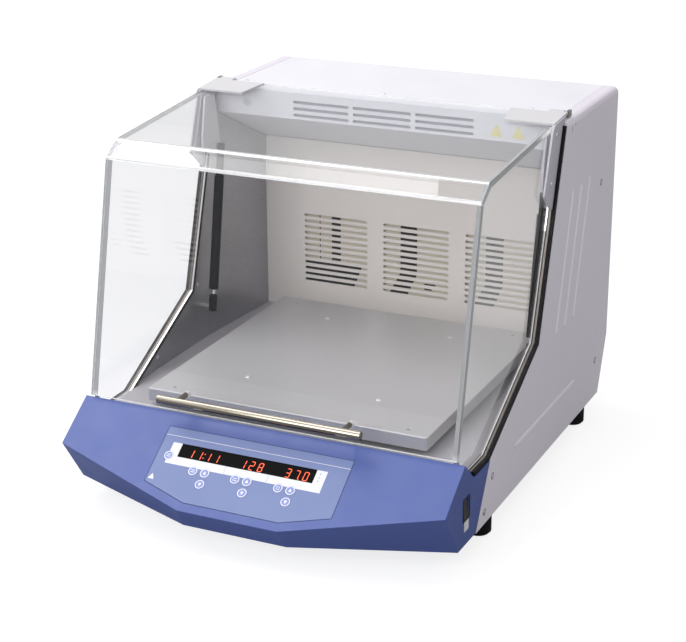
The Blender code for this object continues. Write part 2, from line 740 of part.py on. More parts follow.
def hinge_bracket():
    """Right-hand bracket: lid flange, outer plate, two bolts, inner arm and knuckle."""
    plate_out = PLATE_X + BRACKET_THICK
    inner, outer = KNUCKLE_X
    flange_plan = [(FLANGE_INNER_X[0], FLANGE_FRONT_Y), (plate_out, FLANGE_FRONT_Y)]
    flange_plan += [(plate_out, PLATE_REAR_Y), (outer, PLATE_REAR_Y), (outer, HINGE[0])]
    flange_plan += [(inner, HINGE[0]), (inner, FLANGE_REAR_Y), (FLANGE_INNER_X[1], FLANGE_REAR_Y)]
    bm = bmesh.new()
    face = bm.faces.new([bm.verts.new((x, y, lid_z(y) + GAP)) for x, y in flange_plan])
    grown = bmesh.ops.extrude_face_region(bm, geom=[face])
    moved = [item for item in grown["geom"] if isinstance(item, bmesh.types.BMVert)]
    bmesh.ops.translate(bm, verts=moved, vec=(0, 0, BRACKET_THICK))
    bracket = add_object("hinge_bracket_right", bm, "bracket_paint")
    top = BRACKET_THICK / 2
    back_low, back_high = (front_edge_y(z) - PLATE_BACK for z in (PLATE_LOW_Z, PLATE_HIGH_Z))
    plate = [(FLANGE_FRONT_Y, lid_z(FLANGE_FRONT_Y) + top), *PLATE_FOOT, (back_low, PLATE_LOW_Z)]
    plate += [(back_high, PLATE_HIGH_Z), (back_high, lid_z(back_high) + top)]
    stud_x = (SPRING_X + 0.0066, ARM_X[0] + 0.001)
    tools = [
        prism("plate", plate, "X", PLATE_X, plate_out),
        prism("arm", ARM_OUTLINE, "X", *ARM_X),
        cylinder("knuckle", HINGE, KNUCKLE_RADIUS, "X", *KNUCKLE_X),
        cylinder("stud", SPRING_HIGH, UPPER_STUD_RADIUS, "X", *stud_x, segments=16),
    ]
    for at in BRACKET_BOLTS:
        tools.append(cylinder("bolt", at, BOLT_RADIUS, "X", ARM_X[0] + 0.001, PLATE_X + 0.001, segments=12))
    join(bracket, *tools)
    bore = (PIN_RADIUS + BEARING_GAP) / math.cos(math.pi / 24)
    return cut(bracket, cylinder("bore", HINGE, bore, "X", KNUCKLE_X[0] - 0.01, KNUCKLE_X[1] + 0.01))


def hinge_pin():
    """Right-hand hinge block on the housing, with its pin through the knuckle."""
    low = (PLATE_X, HINGE[0] - 0.004, TOP_Z + 0.0006)
    high = (PLATE_X + HINGE_BLOCK_WIDE, HINGE[0] + 0.007, HINGE[1] + 0.0046)
    stand = block("hinge_pin_right", low, high)
    return join(stand, cylinder("pin", HINGE, PIN_RADIUS, "X", KNUCKLE_X[0], low[0] + 0.002))


def hood():
    """Bent front and lid sheet, cheeks, brackets and handle, all on the hinge axis."""
    canopy = bent_sheet("hood_canopy", HOOD_OUTLINE, ACRYLIC, -HOOD_HALF, HOOD_HALF, "acrylic")
    sides = [hood_side(), hinge_bracket()]
    sides += [mirror_to(side, side.name.replace("right", "left")) for side in sides]
    mirror_to(hinge_pin(), "hinge_pin_left")
    y, z = HANDLE_AXIS
    ends = [(-HANDLE_HALF, y, z), (HANDLE_HALF, y, z)]
    handle = rod("handle_bar", ends[0], ends[1], HANDLE_RADIUS, "steel", 20)
    (y0, z0), (y1, z1) = HOOD_OUTLINE[2:]
    sheet_y = y0 + (z - z0) * (y1 - y0) / (z1 - z0)
    posts = []
    for x in (-STANDOFF_X, STANDOFF_X):
        posts.append(rod("post", (x, sheet_y - 0.0014, z), (x, y, z), 0.004, segments=12))
    join(handle, *posts)
    hang(pivot("hood_axis", (0, *HINGE)), canopy, handle, *sides)


def spring_point(distance, x=SPRING_X):
    """A point on the right-hand gas spring's axis, from its lower joint."""
    along = Vector((0, SPRING_HIGH[0] - SPRING_LOW[0], SPRING_HIGH[1] - SPRING_LOW[1])).normalized()
    return Vector((x, *SPRING_LOW)) + along * distance


LOWER_STUD_RADIUS = 0.004
SOCKET_RADIUS = 0.0044
SOCKET_SPAN = (-0.007, 0.0185)
PISTON_SPAN = (0.016, 0.138)
TUBE_SPAN = (0.028, 0.2075)
TUBE_BORE_END = 0.148
END_START = 0.205


def gas_springs():
    """Piston rod below, pressure tube above, and the wall stud that the rod turns on."""
    stud_x = (SPRING_X + HOOD_GAP, CHAMBER_FRONT_X - GAP)
    stud = cylinder("spring_stud_right", SPRING_LOW, LOWER_STUD_RADIUS, "X", *stud_x, segments=16)
    mirror_to(stud, "spring_stud_left")
    piston = rod("spring_rod_right", *map(spring_point, SOCKET_SPAN), 0.00625, "spring_black")
    join(piston, rod("piston", *map(spring_point, PISTON_SPAN), 0.003, segments=12))
    cut(piston, cylinder("socket", SPRING_LOW, SOCKET_RADIUS, "X", SPRING_X, SPRING_X + 0.02, segments=16))
    length = math.dist(SPRING_LOW, SPRING_HIGH)
    tube = rod("spring_tube_right", *map(spring_point, TUBE_SPAN), 0.0075, "spring_black", 20)
    join(tube, rod("end", spring_point(END_START), spring_point(length + 0.006), 0.0055, segments=12))
    cut(tube, rod("bore", spring_point(0.02), spring_point(TUBE_BORE_END), 0.0036, segments=12))
    pairs = [("right", piston, tube)]
    pairs.append(("left", mirror_to(piston, "spring_rod_left"), mirror_to(tube, "spring_tube_left")))
    for side, lower, upper in pairs:
        sign = 1 if side == "right" else -1
        hang(pivot(f"spring_{side}_axis", (sign * SPRING_X, *SPRING_LOW)), lower, upper)


# ---------------------------------------------------------------- platform and drive
PIN_TOP = 0.1485
DISC_LOW = 0.0985
DISC_HIGH = 0.1090
FRAME_LOW = 0.064
FRAME_HIGH = 0.070
MAIN_SHAFT = 0.010
MAIN_PIN = 0.008
CRANK_SHAFT = 0.007
CRANK_PIN = 0.006
TRAY_WALL = 0.003
CLAMP_HOLE = (0.182, 0.1975, 0.0026)
CARRIER_HALF = (0.155, 0.110)
CARRIER_THICK = 0.008
CARRIER_WINDOW = ((0.025, 0.095), (0.030, 0.095))
BOSS_LOW = 0.1335
COUNTERWEIGHT_RADIUS = 0.058
FRAME_ARM = (0.155, 0.045)
FRAME_TAIL = (0.055, 0.250)
FRAME_LEGS = [(0.146, -0.036), (0.146, 0.036), (0.046, 0.21675)]
LEG_RADIUS = 0.007
MOTOR_RADIUS = 0.038
MOTOR_TOP = 0.118
MOTOR_SHAFT = 0.005
MOTOR_SHAFT_TOP = 0.080
MOTOR_BORE = 0.0055


def bore_radius(shaft):
    """Radius of a 24-sided hole that a shaft turns in without touching its flats."""
    return (shaft + BEARING_GAP) / math.cos(math.pi / 24)


def platform():
    """Inverted aluminium tray on a carrier plate with three bearing bosses."""
    half, y = PLATFORM_HALF, PLATFORM_CENTRE_Y
    low = PLATFORM_TOP - PLATFORM_DEPTH
    tray = block("platform", (-half, y - half, low), (half, y + half, PLATFORM_TOP), "aluminium")
    bevel_edges(tray, lambda p, q: abs(p.z - q.z) > 0.01, 0.003, 2)
    inner = half - TRAY_WALL
    tools = [block("hollow", (-inner, y - inner, low - 0.01), (inner, y + inner, PLATFORM_TOP - TRAY_WALL))]
    hole_x, hole_step, hole_radius = CLAMP_HOLE
    for x in (-hole_x, hole_x):
        for hole_y in (y - hole_step, y + hole_step):
            span = (low, PLATFORM_TOP + 0.01)
            tools.append(cylinder("hole", (x, hole_y), hole_radius, "Z", *span, segments=10))
    cut(tray, *tools)

    top = PLATFORM_TOP - TRAY_WALL - HOOD_GAP
    wide, deep = CARRIER_HALF
    corners = (-wide, y - deep, top - CARRIER_THICK), (wide, y + deep, top)
    carrier = block("platform_carrier", *corners, "cast_alloy")
    pins = [(0.0, 0.016, MAIN_PIN), (-CRANK_X, 0.012, CRANK_PIN), (CRANK_X, 0.012, CRANK_PIN)]
    boss_top = top - CARRIER_THICK / 2
    join(carrier, *(cylinder("boss", (x, y), boss, "Z", BOSS_LOW, boss_top) for x, boss, pin in pins))
    tools = []
    for x, boss, pin in pins:
        tools.append(cylinder("bore", (x, y), bore_radius(pin), "Z", BOSS_LOW - 0.01, PIN_TOP + GAP))
    (x0, x1), (y0, y1) = CARRIER_WINDOW
    for low_x in (-x1, x0):
        for low_y in (y - y1, y + y0):
            high = (low_x + x1 - x0, low_y + y1 - y0, top + 0.01)
            tools.append(block("window", (low_x, low_y, BOSS_LOW), high))
    cut(carrier, *tools)
    hang(pivot("platform_axis", (0, y, PLATFORM_TOP)), tray, carrier)


def eccentric(name, x, shaft, pin, disc, shaft_low):
    """A vertical shaft whose upper pin is off its axis by the orbit radius."""
    made = cylinder(name, (x, DRIVE_Y), shaft, "Z", shaft_low, DISC_LOW + 0.001)
    web = cylinder("web", (x, DRIVE_Y), disc, "Z", DISC_LOW, DISC_HIGH)
    crank_pin = cylinder("pin", (x, PLATFORM_CENTRE_Y), pin, "Z", DISC_HIGH - 0.001, PIN_TOP)
    return join(made, web, crank_pin)


def drive_frame():
    """T-shaped casting on six legs that carries the bearings of the three cranks and the motor."""
    wide, deep = FRAME_ARM
    tail, rear = FRAME_TAIL
    half = [(wide, DRIVE_Y - deep), (wide, DRIVE_Y + deep), (tail, DRIVE_Y + deep), (tail, rear)]
    plan = half + [(-x, y) for x, y in reversed(half)]
    frame = prism("drive_frame", plan, "Z", FRAME_LOW, FRAME_HIGH, "cast_alloy")
    bosses = [(0.0, 0.018, MAIN_SHAFT), (-CRANK_X, 0.013, CRANK_SHAFT), (CRANK_X, 0.013, CRANK_SHAFT)]
    low, high = FRAME_LOW - 0.004, DISC_LOW - 0.001
    tools = [cylinder("boss", (x, DRIVE_Y), boss, "Z", low, high) for x, boss, shaft in bosses]
    for x, step in FRAME_LEGS:
        for at in ((-x, DRIVE_Y + step), (x, DRIVE_Y + step)):
            tools.append(cylinder("leg", at, LEG_RADIUS, "Z", BASE_TOP + GAP, FRAME_LOW + 0.001, segments=12))
    join(frame, *tools)
    bores = [cylinder("bore", (x, DRIVE_Y), bore_radius(shaft), "Z", 0.03, 0.12) for x, boss, shaft in bosses]
    cut(frame, *bores, cylinder("motor_hole", (0, MOTOR_Y), 0.014, "Z", 0.03, 0.12))


def drive():
    """Eccentric, guide cranks, pulleys, belt and motor on the frame under the floor."""
    shaft = eccentric("eccentric_shaft", 0, MAIN_SHAFT, MAIN_PIN, 0.020, 0.036)
    at = (0, DRIVE_Y)
    half_turn = circle(at, COUNTERWEIGHT_RADIUS)[:13]
    join(shaft, prism("counterweight", half_turn, "Z", DISC_LOW + 0.0005, DISC_HIGH - 0.0005))
    rim = (BELT_LOW - 0.002, BELT_HIGH + 0.002)
    pulley = cylinder("drive_pulley", at, PULLEY_RADIUS, "Z", *rim, "cast_alloy", 40)
    cut(pulley, cylinder("bore", at, bore_radius(MAIN_SHAFT), "Z", rim[0] - 0.01, rim[1] + 0.01))
    hang(pivot("drive_axis", (0, DRIVE_Y, DISC_LOW)), shaft, pulley)
    for side, x in (("left", -CRANK_X), ("right", CRANK_X)):
        crank = eccentric(f"guide_crank_{side}", x, CRANK_SHAFT, CRANK_PIN, 0.0175, 0.057)
        hang(pivot(f"crank_{side}_axis", (x, DRIVE_Y, DISC_LOW)), crank)

    drive_frame()
    at = (0, MOTOR_Y)
    motor = cylinder("drive_motor", at, MOTOR_RADIUS, "Z", FRAME_HIGH + GAP, MOTOR_TOP, "cast_alloy", 32)
    cut(motor, cylinder("bore", at, MOTOR_BORE, "Z", FRAME_LOW, MOTOR_SHAFT_TOP + 0.002, segments=12))
    rotor = cylinder("motor_pulley", at, MOTOR_PULLEY_RADIUS, "Z", *rim, "steel")
    join(rotor, cylinder("shaft", at, MOTOR_SHAFT, "Z", BELT_HIGH, MOTOR_SHAFT_TOP, segments=12))
    hang(pivot("motor_axis", (*at, FRAME_HIGH)), rotor)
    belt = prism("drive_belt", belt_outline(0.0024), "Z", BELT_LOW, BELT_HIGH, "rubber")
    cut(belt, prism("inside", belt_outline(0.0004), "Z", BELT_LOW - 0.01, BELT_HIGH + 0.01))


def belt_outline(grow):
    """Outline round both pulleys, grown by a margin, following their common tangents."""
    reach = MOTOR_Y - DRIVE_Y
    lean = math.asin((PULLEY_RADIUS - MOTOR_PULLEY_RADIUS) / reach)
    points = []
    steps = 20
    for i in range(steps + 1):
        angle = math.pi - lean + (math.pi + 2 * lean) * i / steps
        radius = PULLEY_RADIUS + grow
        points.append((radius * math.cos(angle), DRIVE_Y + radius * math.sin(angle)))
    for i in range(steps // 2 + 1):
        angle = lean + (math.pi - 2 * lean) * i / (steps // 2)
        radius = MOTOR_PULLEY_RADIUS + grow
        points.append((radius * math.cos(angle), MOTOR_Y + radius * math.sin(angle)))
    return points


# ---------------------------------------------------------------- heating, air and power
FAN_Z = 0.230
FAN_BLADES = 8
FAN_DISC = (0.2985, 0.3005)
FAN_RADIUS = 0.058
BLADE_FRONT_Y = 0.284
BLADE_X = (0.026, 0.056)
FAN_SHAFT = 0.003
FAN_MOTOR_RADIUS = 0.028
FAN_MOTOR_Y = 0.304
HEATER_Y = 0.293
HEATER_RADIUS = 0.082
HEATER_ROD = 0.004
SUPPLY_X = (0.105, 0.235)
SUPPLY_Y = (0.110, 0.250)
SUPPLY_TOP = 0.098


def inlet_frame():
    """Placement on the slanted lower rear: local Z points out of the housing."""
    (y0, z0), (y1, z1) = REAR_KNEE, REAR_BOTTOM
    lean = math.atan2(z0 - z1, y0 - y1)
    middle = Matrix.Translation((0, (y0 + y1) / 2, (z0 + z1) / 2))
    return middle @ Matrix.Rotation(lean - math.pi, 4, "X")


def mains_inlet():
    """Appliance inlet with its flange outside the rear panel and its body inside."""
    turn = inlet_frame()
    inlet = block("mains_inlet", (-0.029, -0.0175, 0.0004), (0.029, 0.0175, 0.003), "switch_black", turn)
    join(inlet, block("body", (-0.0235, -0.0125, -0.022), (0.0235, 0.0125, 0.001), turn=turn))
    cut(inlet, block("cavity", (-0.0125, -0.0085, -0.018), (0.0125, 0.0085, 0.01), turn=turn))


def air_and_heat():
    """Circulating fan with its motor, and the ring heater round it."""
    at = (0, FAN_Z)
    disc_middle = sum(FAN_DISC) / 2
    fan = cylinder("fan_impeller", at, FAN_RADIUS, "Y", *FAN_DISC, "cast_alloy", 32)
    hub = cylinder("hub", at, 0.012, "Y", BLADE_FRONT_Y + 0.002, FAN_DISC[1] + SHEET)
    shaft = cylinder("shaft", at, FAN_SHAFT, "Y", disc_middle, FAN_MOTOR_Y + 0.010, segments=12)
    blades = []
    for i in range(FAN_BLADES):
        turn = Matrix.Translation((0, 0, FAN_Z)) @ Matrix.Rotation(2 * math.pi * i / FAN_BLADES, 4, "Y")
        low, high = (BLADE_X[0], BLADE_FRONT_Y, -0.001), (BLADE_X[1], disc_middle, 0.001)
        blades.append(block("blade", low, high, turn=turn))
    join(fan, hub, shaft, *blades)
    hang(pivot("fan_axis", (0, disc_middle, FAN_Z)), fan)
    motor_rear = REAR_Y - SHEET - GAP
    motor = cylinder("fan_motor", at, FAN_MOTOR_RADIUS, "Y", FAN_MOTOR_Y, motor_rear, "cast_alloy", 28)
    cut(motor, cylinder("bore", at, FAN_SHAFT * 1.2, "Y", FAN_DISC[1], FAN_MOTOR_Y + 0.013, segments=12))

    loop = bpy.data.curves.new("heater_element", "CURVE")
    loop.dimensions = "3D"
    loop.bevel_depth = HEATER_ROD
    loop.bevel_resolution = 1
    spline = loop.splines.new("POLY")
    ring = circle((0, FAN_Z), HEATER_RADIUS, 28)
    spline.points.add(len(ring) - 1)
    for point, (x, z) in zip(spline.points, ring):
        point.co = (x, HEATER_Y, z, 1.0)
    spline.use_cyclic_u = True
    loop.materials.append(finish("steel"))
    heater = bpy.data.objects.new("heater_element", loop)
    bpy.context.collection.objects.link(heater)


def power_supply():
    """Closed power unit on the base plate, beside the drive."""
    low, high = (SUPPLY_X[0], SUPPLY_Y[0], BASE_TOP + GAP), (SUPPLY_X[1], SUPPLY_Y[1], SUPPLY_TOP)
    box = block("power_supply", low, high, "cast_alloy")
    bevel_edges(box, lambda p, q: abs(p.z - q.z) > 0.01, 0.002, 1)


housing()
chamber()
opening_seals()
feet()
control_housing()
control_panel()
power_switch()
hood()
gas_springs()
platform()
drive()
mains_inlet()
air_and_heat()
power_supply()
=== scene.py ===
import json
import math

import bmesh
import bpy
from mathutils import Matrix, Vector


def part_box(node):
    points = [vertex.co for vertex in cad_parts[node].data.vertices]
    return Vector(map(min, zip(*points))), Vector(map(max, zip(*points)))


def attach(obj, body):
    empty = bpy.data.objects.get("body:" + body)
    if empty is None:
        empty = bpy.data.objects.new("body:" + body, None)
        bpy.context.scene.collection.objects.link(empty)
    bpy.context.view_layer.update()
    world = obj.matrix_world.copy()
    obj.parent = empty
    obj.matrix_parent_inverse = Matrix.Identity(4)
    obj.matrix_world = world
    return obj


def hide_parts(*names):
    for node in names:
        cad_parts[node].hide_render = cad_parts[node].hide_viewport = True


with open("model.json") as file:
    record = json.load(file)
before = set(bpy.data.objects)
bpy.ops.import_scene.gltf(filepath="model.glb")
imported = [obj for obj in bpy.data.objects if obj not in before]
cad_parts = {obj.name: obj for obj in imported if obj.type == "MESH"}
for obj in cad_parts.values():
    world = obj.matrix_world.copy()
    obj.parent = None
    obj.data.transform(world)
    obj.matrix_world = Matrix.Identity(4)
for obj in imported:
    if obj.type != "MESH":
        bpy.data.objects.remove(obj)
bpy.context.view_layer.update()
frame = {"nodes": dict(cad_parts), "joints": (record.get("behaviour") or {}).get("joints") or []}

MM = 0.001
RIGHT, FRONT, BACK, UP = Vector((1, 0, 0)), Vector((0, -1, 0)), Vector((0, 1, 0)), Vector((0, 0, 1))
SIDES = ((-1, "left"), (1, "right"))
SIDE_FACE = 290.0  # the side panels' outer faces, in mm from the middle


# ---------------------------------------------------------------- materials

def shade(red, green, blue):
    """A linear colour from its 0 to 255 display values."""
    values = []
    for part in (red, green, blue):
        part /= 255
        values.append(part / 12.92 if part <= 0.04045 else ((part + 0.055) / 1.055) ** 2.4)
    return (*values, 1.0)


class Nodes:
    """A node tree and the ways to add to it."""

    def __init__(self, tree):
        self.nodes, self.links = tree.nodes, tree.links

    def node(self, kind, **inputs):
        """A node whose inputs are each a socket or a number."""
        made = self.nodes.new("ShaderNode" + kind)
        for key, value in inputs.items():
            socket = made.inputs[key.replace("_", " ")]
            if isinstance(value, bpy.types.NodeSocket):
                self.links.new(value, socket)
            else:
                socket.default_value = value
        return made

    def maths(self, operation, first, second):
        """The result of an operation on two sockets."""
        made = self.nodes.new("ShaderNodeMath")
        made.operation = operation
        self.links.new(first, made.inputs[0])
        self.links.new(second, made.inputs[1])
        return made.outputs["Value"]

    def along(self, source, axis):
        """A vector socket's dot product with an axis."""
        made = self.nodes.new("ShaderNodeVectorMath")
        made.operation = "DOT_PRODUCT"
        self.links.new(source, made.inputs[0])
        made.inputs[1].default_value = axis
        return made.outputs["Value"]

    def span(self, value, low, high, start=0.3, end=0.7):
        """Maps a socket from start and end to low and high."""
        return self.node(
            "MapRange", Value=value, From_Min=start, From_Max=end, To_Min=low, To_Max=high
        ).outputs["Result"]

    def mirrored(self):
        """1 for a ray that came off a mirror-like surface, 0 for one bent on its way through acrylic."""
        rays = self.node("LightPath").outputs
        return self.maths("SUBTRACT", rays["Is Glossy Ray"], rays["Is Transmission Ray"])


class Finish(Nodes):
    """A Principled material and the node patterns that the pieces share."""

    def __init__(self, name, colour, roughness, **inputs):
        self.material = bpy.data.materials.new(name)
        self.material.use_nodes = True
        super().__init__(self.material.node_tree)
        self.shader = self.nodes["Principled BSDF"]
        self.colour = colour
        self.roughness = roughness
        self.set("Base Color", colour)
        self.set("Roughness", roughness)
        for key, value in inputs.items():
            self.set(key.replace("_", " ").title().replace("Ior", "IOR"), value)

    def set(self, socket, value):
        self.shader.inputs[socket].default_value = value

    def noise(self, scale, detail=3.0, stretch=(1, 1, 1)):
        """Noise over the object, in patches of about 1/scale metres.

        They are longer along the axes with a small stretch."""
        place = self.node("TexCoord")
        spread = self.node("Mapping", Vector=place.outputs["Object"], Scale=stretch)
        return self.node(
            "TexNoise", Vector=spread.outputs["Vector"], Scale=scale, Detail=detail
        ).outputs["Fac"]

    def mottle(self, scale, amount, stretch=(1, 1, 1), detail=3.0):
        """Varies the colour by that share either way."""
        level = self.span(self.noise(scale, detail, stretch), 1 - amount, 1 + amount)
        value = self.node("HueSaturation", Value=level)
        source = self.shader.inputs["Base Color"]
        if source.is_linked:
            self.links.new(source.links[0].from_socket, value.inputs["Color"])
        else:
            value.inputs["Color"].default_value = self.colour
        self.links.new(value.outputs["Color"], source)
        return self

    def worn(self, scale, amount, stretch=(1, 1, 1)):
        """Varies the roughness by that much either way."""
        level = self.span(
            self.noise(scale, 4.0, stretch), self.roughness - amount, self.roughness + amount
        )
        self.links.new(level, self.shader.inputs["Roughness"])
        return self

    def bumped(self, scale, depth, strength=1.0, stretch=(1, 1, 1), detail=2.0):
        """A relief of that depth in metres, added to any before it."""
        made = self.node(
            "Bump", Height=self.noise(scale, detail, stretch), Distance=depth, Strength=strength
        )
        source = self.shader.inputs["Normal"]
        if source.is_linked:
            self.links.new(source.links[0].from_socket, made.inputs["Normal"])
        self.links.new(made.outputs["Normal"], source)
        return self


def painted(name, colour, roughness=0.42, peel=0.00006):
    """Powder coat: a faint orange peel, soft blotches and a fine grain."""
    return (
        Finish(name, colour, roughness, specular_ior_level=0.45)
        .mottle(5, 0.018)
        .mottle(900, 0.012, detail=1.0)
        .worn(14, 0.05)
        .bumped(420, peel)
        .material
    )


def metal(name, colour, roughness, brush=(1, 1, 1), relief=0.00002):
    """Metal with a grain that runs along the axes with a small stretch."""
    return (
        Finish(name, colour, roughness, metallic=1.0)
        .mottle(260, 0.05, brush)
        .worn(500, 0.08, brush)
        .bumped(1100, relief, 0.6, brush)
        .material
    )


def moulded(name, colour, roughness, grain=0.00004, **inputs):
    """Moulded plastic or rubber with a fine spark-eroded texture."""
    return (
        Finish(name, colour, roughness, **inputs)
        .mottle(7, 0.025)
        .mottle(1200, 0.02, detail=1.0)
        .worn(30, 0.04)
        .bumped(1500, grain)
        .material
    )


ACRYLIC_IOR, ACRYLIC_TINT = 1.49, (0.97, 0.975, 0.985, 1)


def clear(name, colour, roughness, milk=0.0, glint=0.5):
    """Acrylic that lamps and soft light pass straight through; milk is how white and cloudy it is."""
    made = Finish(
        name, colour, roughness,
        transmission_weight=1.0 - milk, ior=ACRYLIC_IOR, specular_ior_level=glint,
    )
    made.worn(9, min(roughness, 0.01))
    rays = made.node("LightPath").outputs
    soft = made.maths("MAXIMUM", rays["Is Shadow Ray"], rays["Is Diffuse Ray"])
    see = made.node("BsdfTransparent", Color=ACRYLIC_TINT)
    mix = made.node("MixShader", Fac=soft)
    made.links.new(made.shader.outputs["BSDF"], mix.inputs[1])
    made.links.new(see.outputs["BSDF"], mix.inputs[2])
    made.links.new(mix.outputs["Shader"], made.nodes["Material Output"].inputs["Surface"])
    return made.material


def glowing(name, colour, strength):
    """A lit segment, its brightness varying a little from place to place."""
    made = Finish(name, colour, 0.4)
    made.set("Emission Color", colour)
    made.links.new(
        made.span(made.noise(260, 1.0), strength * 0.9, strength * 1.1),
        made.shader.inputs["Emission Strength"],
    )
    return made.material


PAINT = {
    "side_paint": painted("side_paint", shade(218, 212, 222)),
    "top_paint": painted("top_paint", shade(222, 221, 227), 0.42, 0.00001),
    "chamber_steel": painted("chamber_steel", shade(226, 219, 212), 0.48, 0.00004),
    "bracket_paint": painted("bracket_paint", shade(198, 196, 199), 0.42),
    "blue_plastic": moulded("blue_plastic", shade(66, 84, 148), 0.44, specular_ior_level=0.5),
    "panel_film": moulded("panel_film", shade(108, 122, 166), 0.42, 0.00002, specular_ior_level=0.35),
    "key_film": moulded("key_film", shade(118, 131, 192), 0.38, 0.00002),
    "display": moulded("display", shade(8, 6, 7), 0.3, 0.000004, specular_ior_level=0.03),
    "circuit_green": moulded("circuit_green", shade(38, 92, 60), 0.4),
    "switch_black": moulded("switch_black", shade(24, 24, 27), 0.33),
    "rubber": moulded("rubber", shade(14, 14, 16), 0.6, specular_ior_level=0.2),
    "steel": metal("steel", shade(208, 204, 198), 0.2, (0.05, 1, 1)),
    "spring_black": moulded("spring_black", shade(4, 4, 9), 0.3, 0.00001, specular_ior_level=0.1),
    "aluminium": metal("aluminium", shade(186, 186, 188), 0.42, (0.4, 1, 1)),
    "cast_alloy": metal("cast_alloy", shade(150, 151, 155), 0.5),
    "acrylic": clear("acrylic", (0.962, 0.964, 0.975, 1), 0.0, glint=0.07),
}
ACRYLIC_EDGE = clear("acrylic_edge", (0.95, 0.965, 0.97, 1), 0.22, milk=0.35)
ACRYLIC_REAR = clear("acrylic_rear", (0.96, 0.95, 0.91, 1), 0.3, milk=0.9)
# Painted highlight: the pale strip along the lid's bend.
BEND_HIGHLIGHT = clear("bend_line", (0.95, 0.95, 0.97, 1), 0.2, milk=0.85)
# Cloudy white on the sheet's bends: a painted highlight along each bend.
ACRYLIC_BEND_HIGHLIGHT = clear("acrylic_bend_highlight", (0.985, 0.988, 0.99, 1), 0.12, milk=0.4)
# White print; the same white also paints the highlight along the platform's front edge.
WHITE_PRINT_AND_HIGHLIGHT = moulded("white_print_and_highlight", shade(214, 214, 217), 0.45, 0.00001)
DARK_GAP = moulded("dark_gap", shade(46, 52, 104), 0.6, 0.00001)
BLACK_PLASTIC = moulded("black_plastic", shade(16, 16, 18), 0.4)
LED = glowing("led", shade(222, 76, 26), 1.05)
BRIGHT_STEEL = metal("bright_steel", shade(214, 212, 208), 0.14, (0.05, 1, 1), 0.00001)
PLATED = metal("plated", shade(226, 226, 230), 0.42)
BAFFLE = painted("baffle", shade(222, 214, 196), 0.5)
# Near black for the painted shade seen through the back wall's grilles.
BAFFLE_SHADE = painted("baffle_shade", shade(20, 19, 20), 0.7)
WALL_STEEL = metal("wall_steel", shade(172, 172, 178), 0.36, (1, 0.2, 1), 0.00001)
HANDLE_STEEL = metal("handle_steel", shade(150, 143, 132), 0.1, (0.05, 1, 1), 0.000004)
DECK = (
    Finish("deck", shade(190, 188, 188), 0.36, metallic=0.35)
    .mottle(6, 0.02)
    .worn(300, 0.05, (0.1, 1, 1))
    .material
)
FLOOR_STEEL = painted("floor_steel", shade(166, 163, 166), 0.4, 0.00003)
PLATE_PAINT = painted("plate_paint", shade(184, 180, 190), 0.42)
TRIM_STRIP = metal("trim_strip", shade(126, 117, 112), 0.42, (1, 1, 0.2), 0.00001)
# A lighter copy of the side paint for the pressed beads: a painted highlight on their crowns.
BEAD_HIGHLIGHT_PAINT = painted("bead_highlight_paint", shade(226, 222, 232), 0.36)
BACKING = painted("backing", shade(165, 162, 178), 0.55)
# Dark grey rings round the side screws: painted shade of the dimples they sit in.
SCREW_RING_SHADE = painted("screw_ring_shade", shade(96, 94, 102), 0.5)
YELLOW = moulded("yellow_print", shade(226, 218, 140), 0.5, 0.00001)

for node in frame["nodes"].values():
    for at, slot in enumerate(node.material_slots):
        node.data.materials[at] = PAINT[slot.material.name.split(".")[0]]
for name, material in (
    ("chamber_wall_left", WALL_STEEL), ("chamber_wall_right", WALL_STEEL),
    ("platform", DECK), ("chamber_floor", FLOOR_STEEL), ("handle_bar", HANDLE_STEEL),
):
    frame["nodes"][name].data.materials[0] = material


# ---------------------------------------------------------------- mesh tools

def place(at, out):
    """A frame at a point: Z along out, Y as near upright as it can be, or to the back if out is upright."""
    z = Vector(out).normalized()
    top = BACK if abs(z.dot(UP)) > 0.95 else UP
    x = top.cross(z).normalized()
    turn = Matrix((x, z.cross(x), z)).transposed()
    return Matrix.Translation(at) @ turn.to_4x4()


def added(name, data):
    """A new object in the scene."""
    made = bpy.data.objects.new(name, data)
    bpy.context.scene.collection.objects.link(made)
    return made


def piece(name, bm, body, slot, *materials, smooth=35):
    """A finished piece that rides on a body."""
    bmesh.ops.recalc_face_normals(bm, faces=bm.faces)
    if bm.calc_volume(signed=True) < 0:
        bmesh.ops.reverse_faces(bm, faces=bm.faces)
    mesh = bpy.data.meshes.new(name)
    for edge in bm.edges:
        sharp = len(edge.link_faces) == 2 and edge.calc_face_angle() > math.radians(smooth)
        edge.smooth = not sharp
    for face in bm.faces:
        face.smooth = True
    bm.to_mesh(mesh)
    bm.free()
    made = added(name, mesh)
    for material in materials or (PAINT[slot],):
        mesh.materials.append(material)
    even = made.modifiers.new("even", "WEIGHTED_NORMAL")
    even.weight = 100
    even.keep_sharp = True
    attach(made, body)
    return made


def rings(bm, loops, cap=True, closed=False):
    """Joins loops of points, equal in number, into one skin."""
    made = [[bm.verts.new(p) for p in loop] for loop in loops]
    pairs = list(zip(made, made[1:]))
    if closed:
        pairs.append((made[-1], made[0]))
    for low, high in pairs:
        count = len(low)
        for i in range(count):
            bm.faces.new((low[i], low[(i + 1) % count], high[(i + 1) % count], high[i]))
    if cap and not closed:
        bm.faces.new(list(reversed(made[0])))
        bm.faces.new(made[-1])


def circle(matrix, radius, height, steps):
    """A loop about the frame's Z axis; radius is a number or gives one for each angle."""
    at = radius if callable(radius) else lambda angle: radius
    return [
        matrix @ Vector((at(a) * math.cos(a), at(a) * math.sin(a), height))
        for a in (2 * math.pi * i / steps for i in range(steps))
    ]


def turned(bm, profile, matrix, steps=32, closed=False):
    """A solid turned about the frame's Z axis from (radius, height) pairs."""
    rings(bm, [circle(matrix, *pair, steps) for pair in profile], closed=closed)


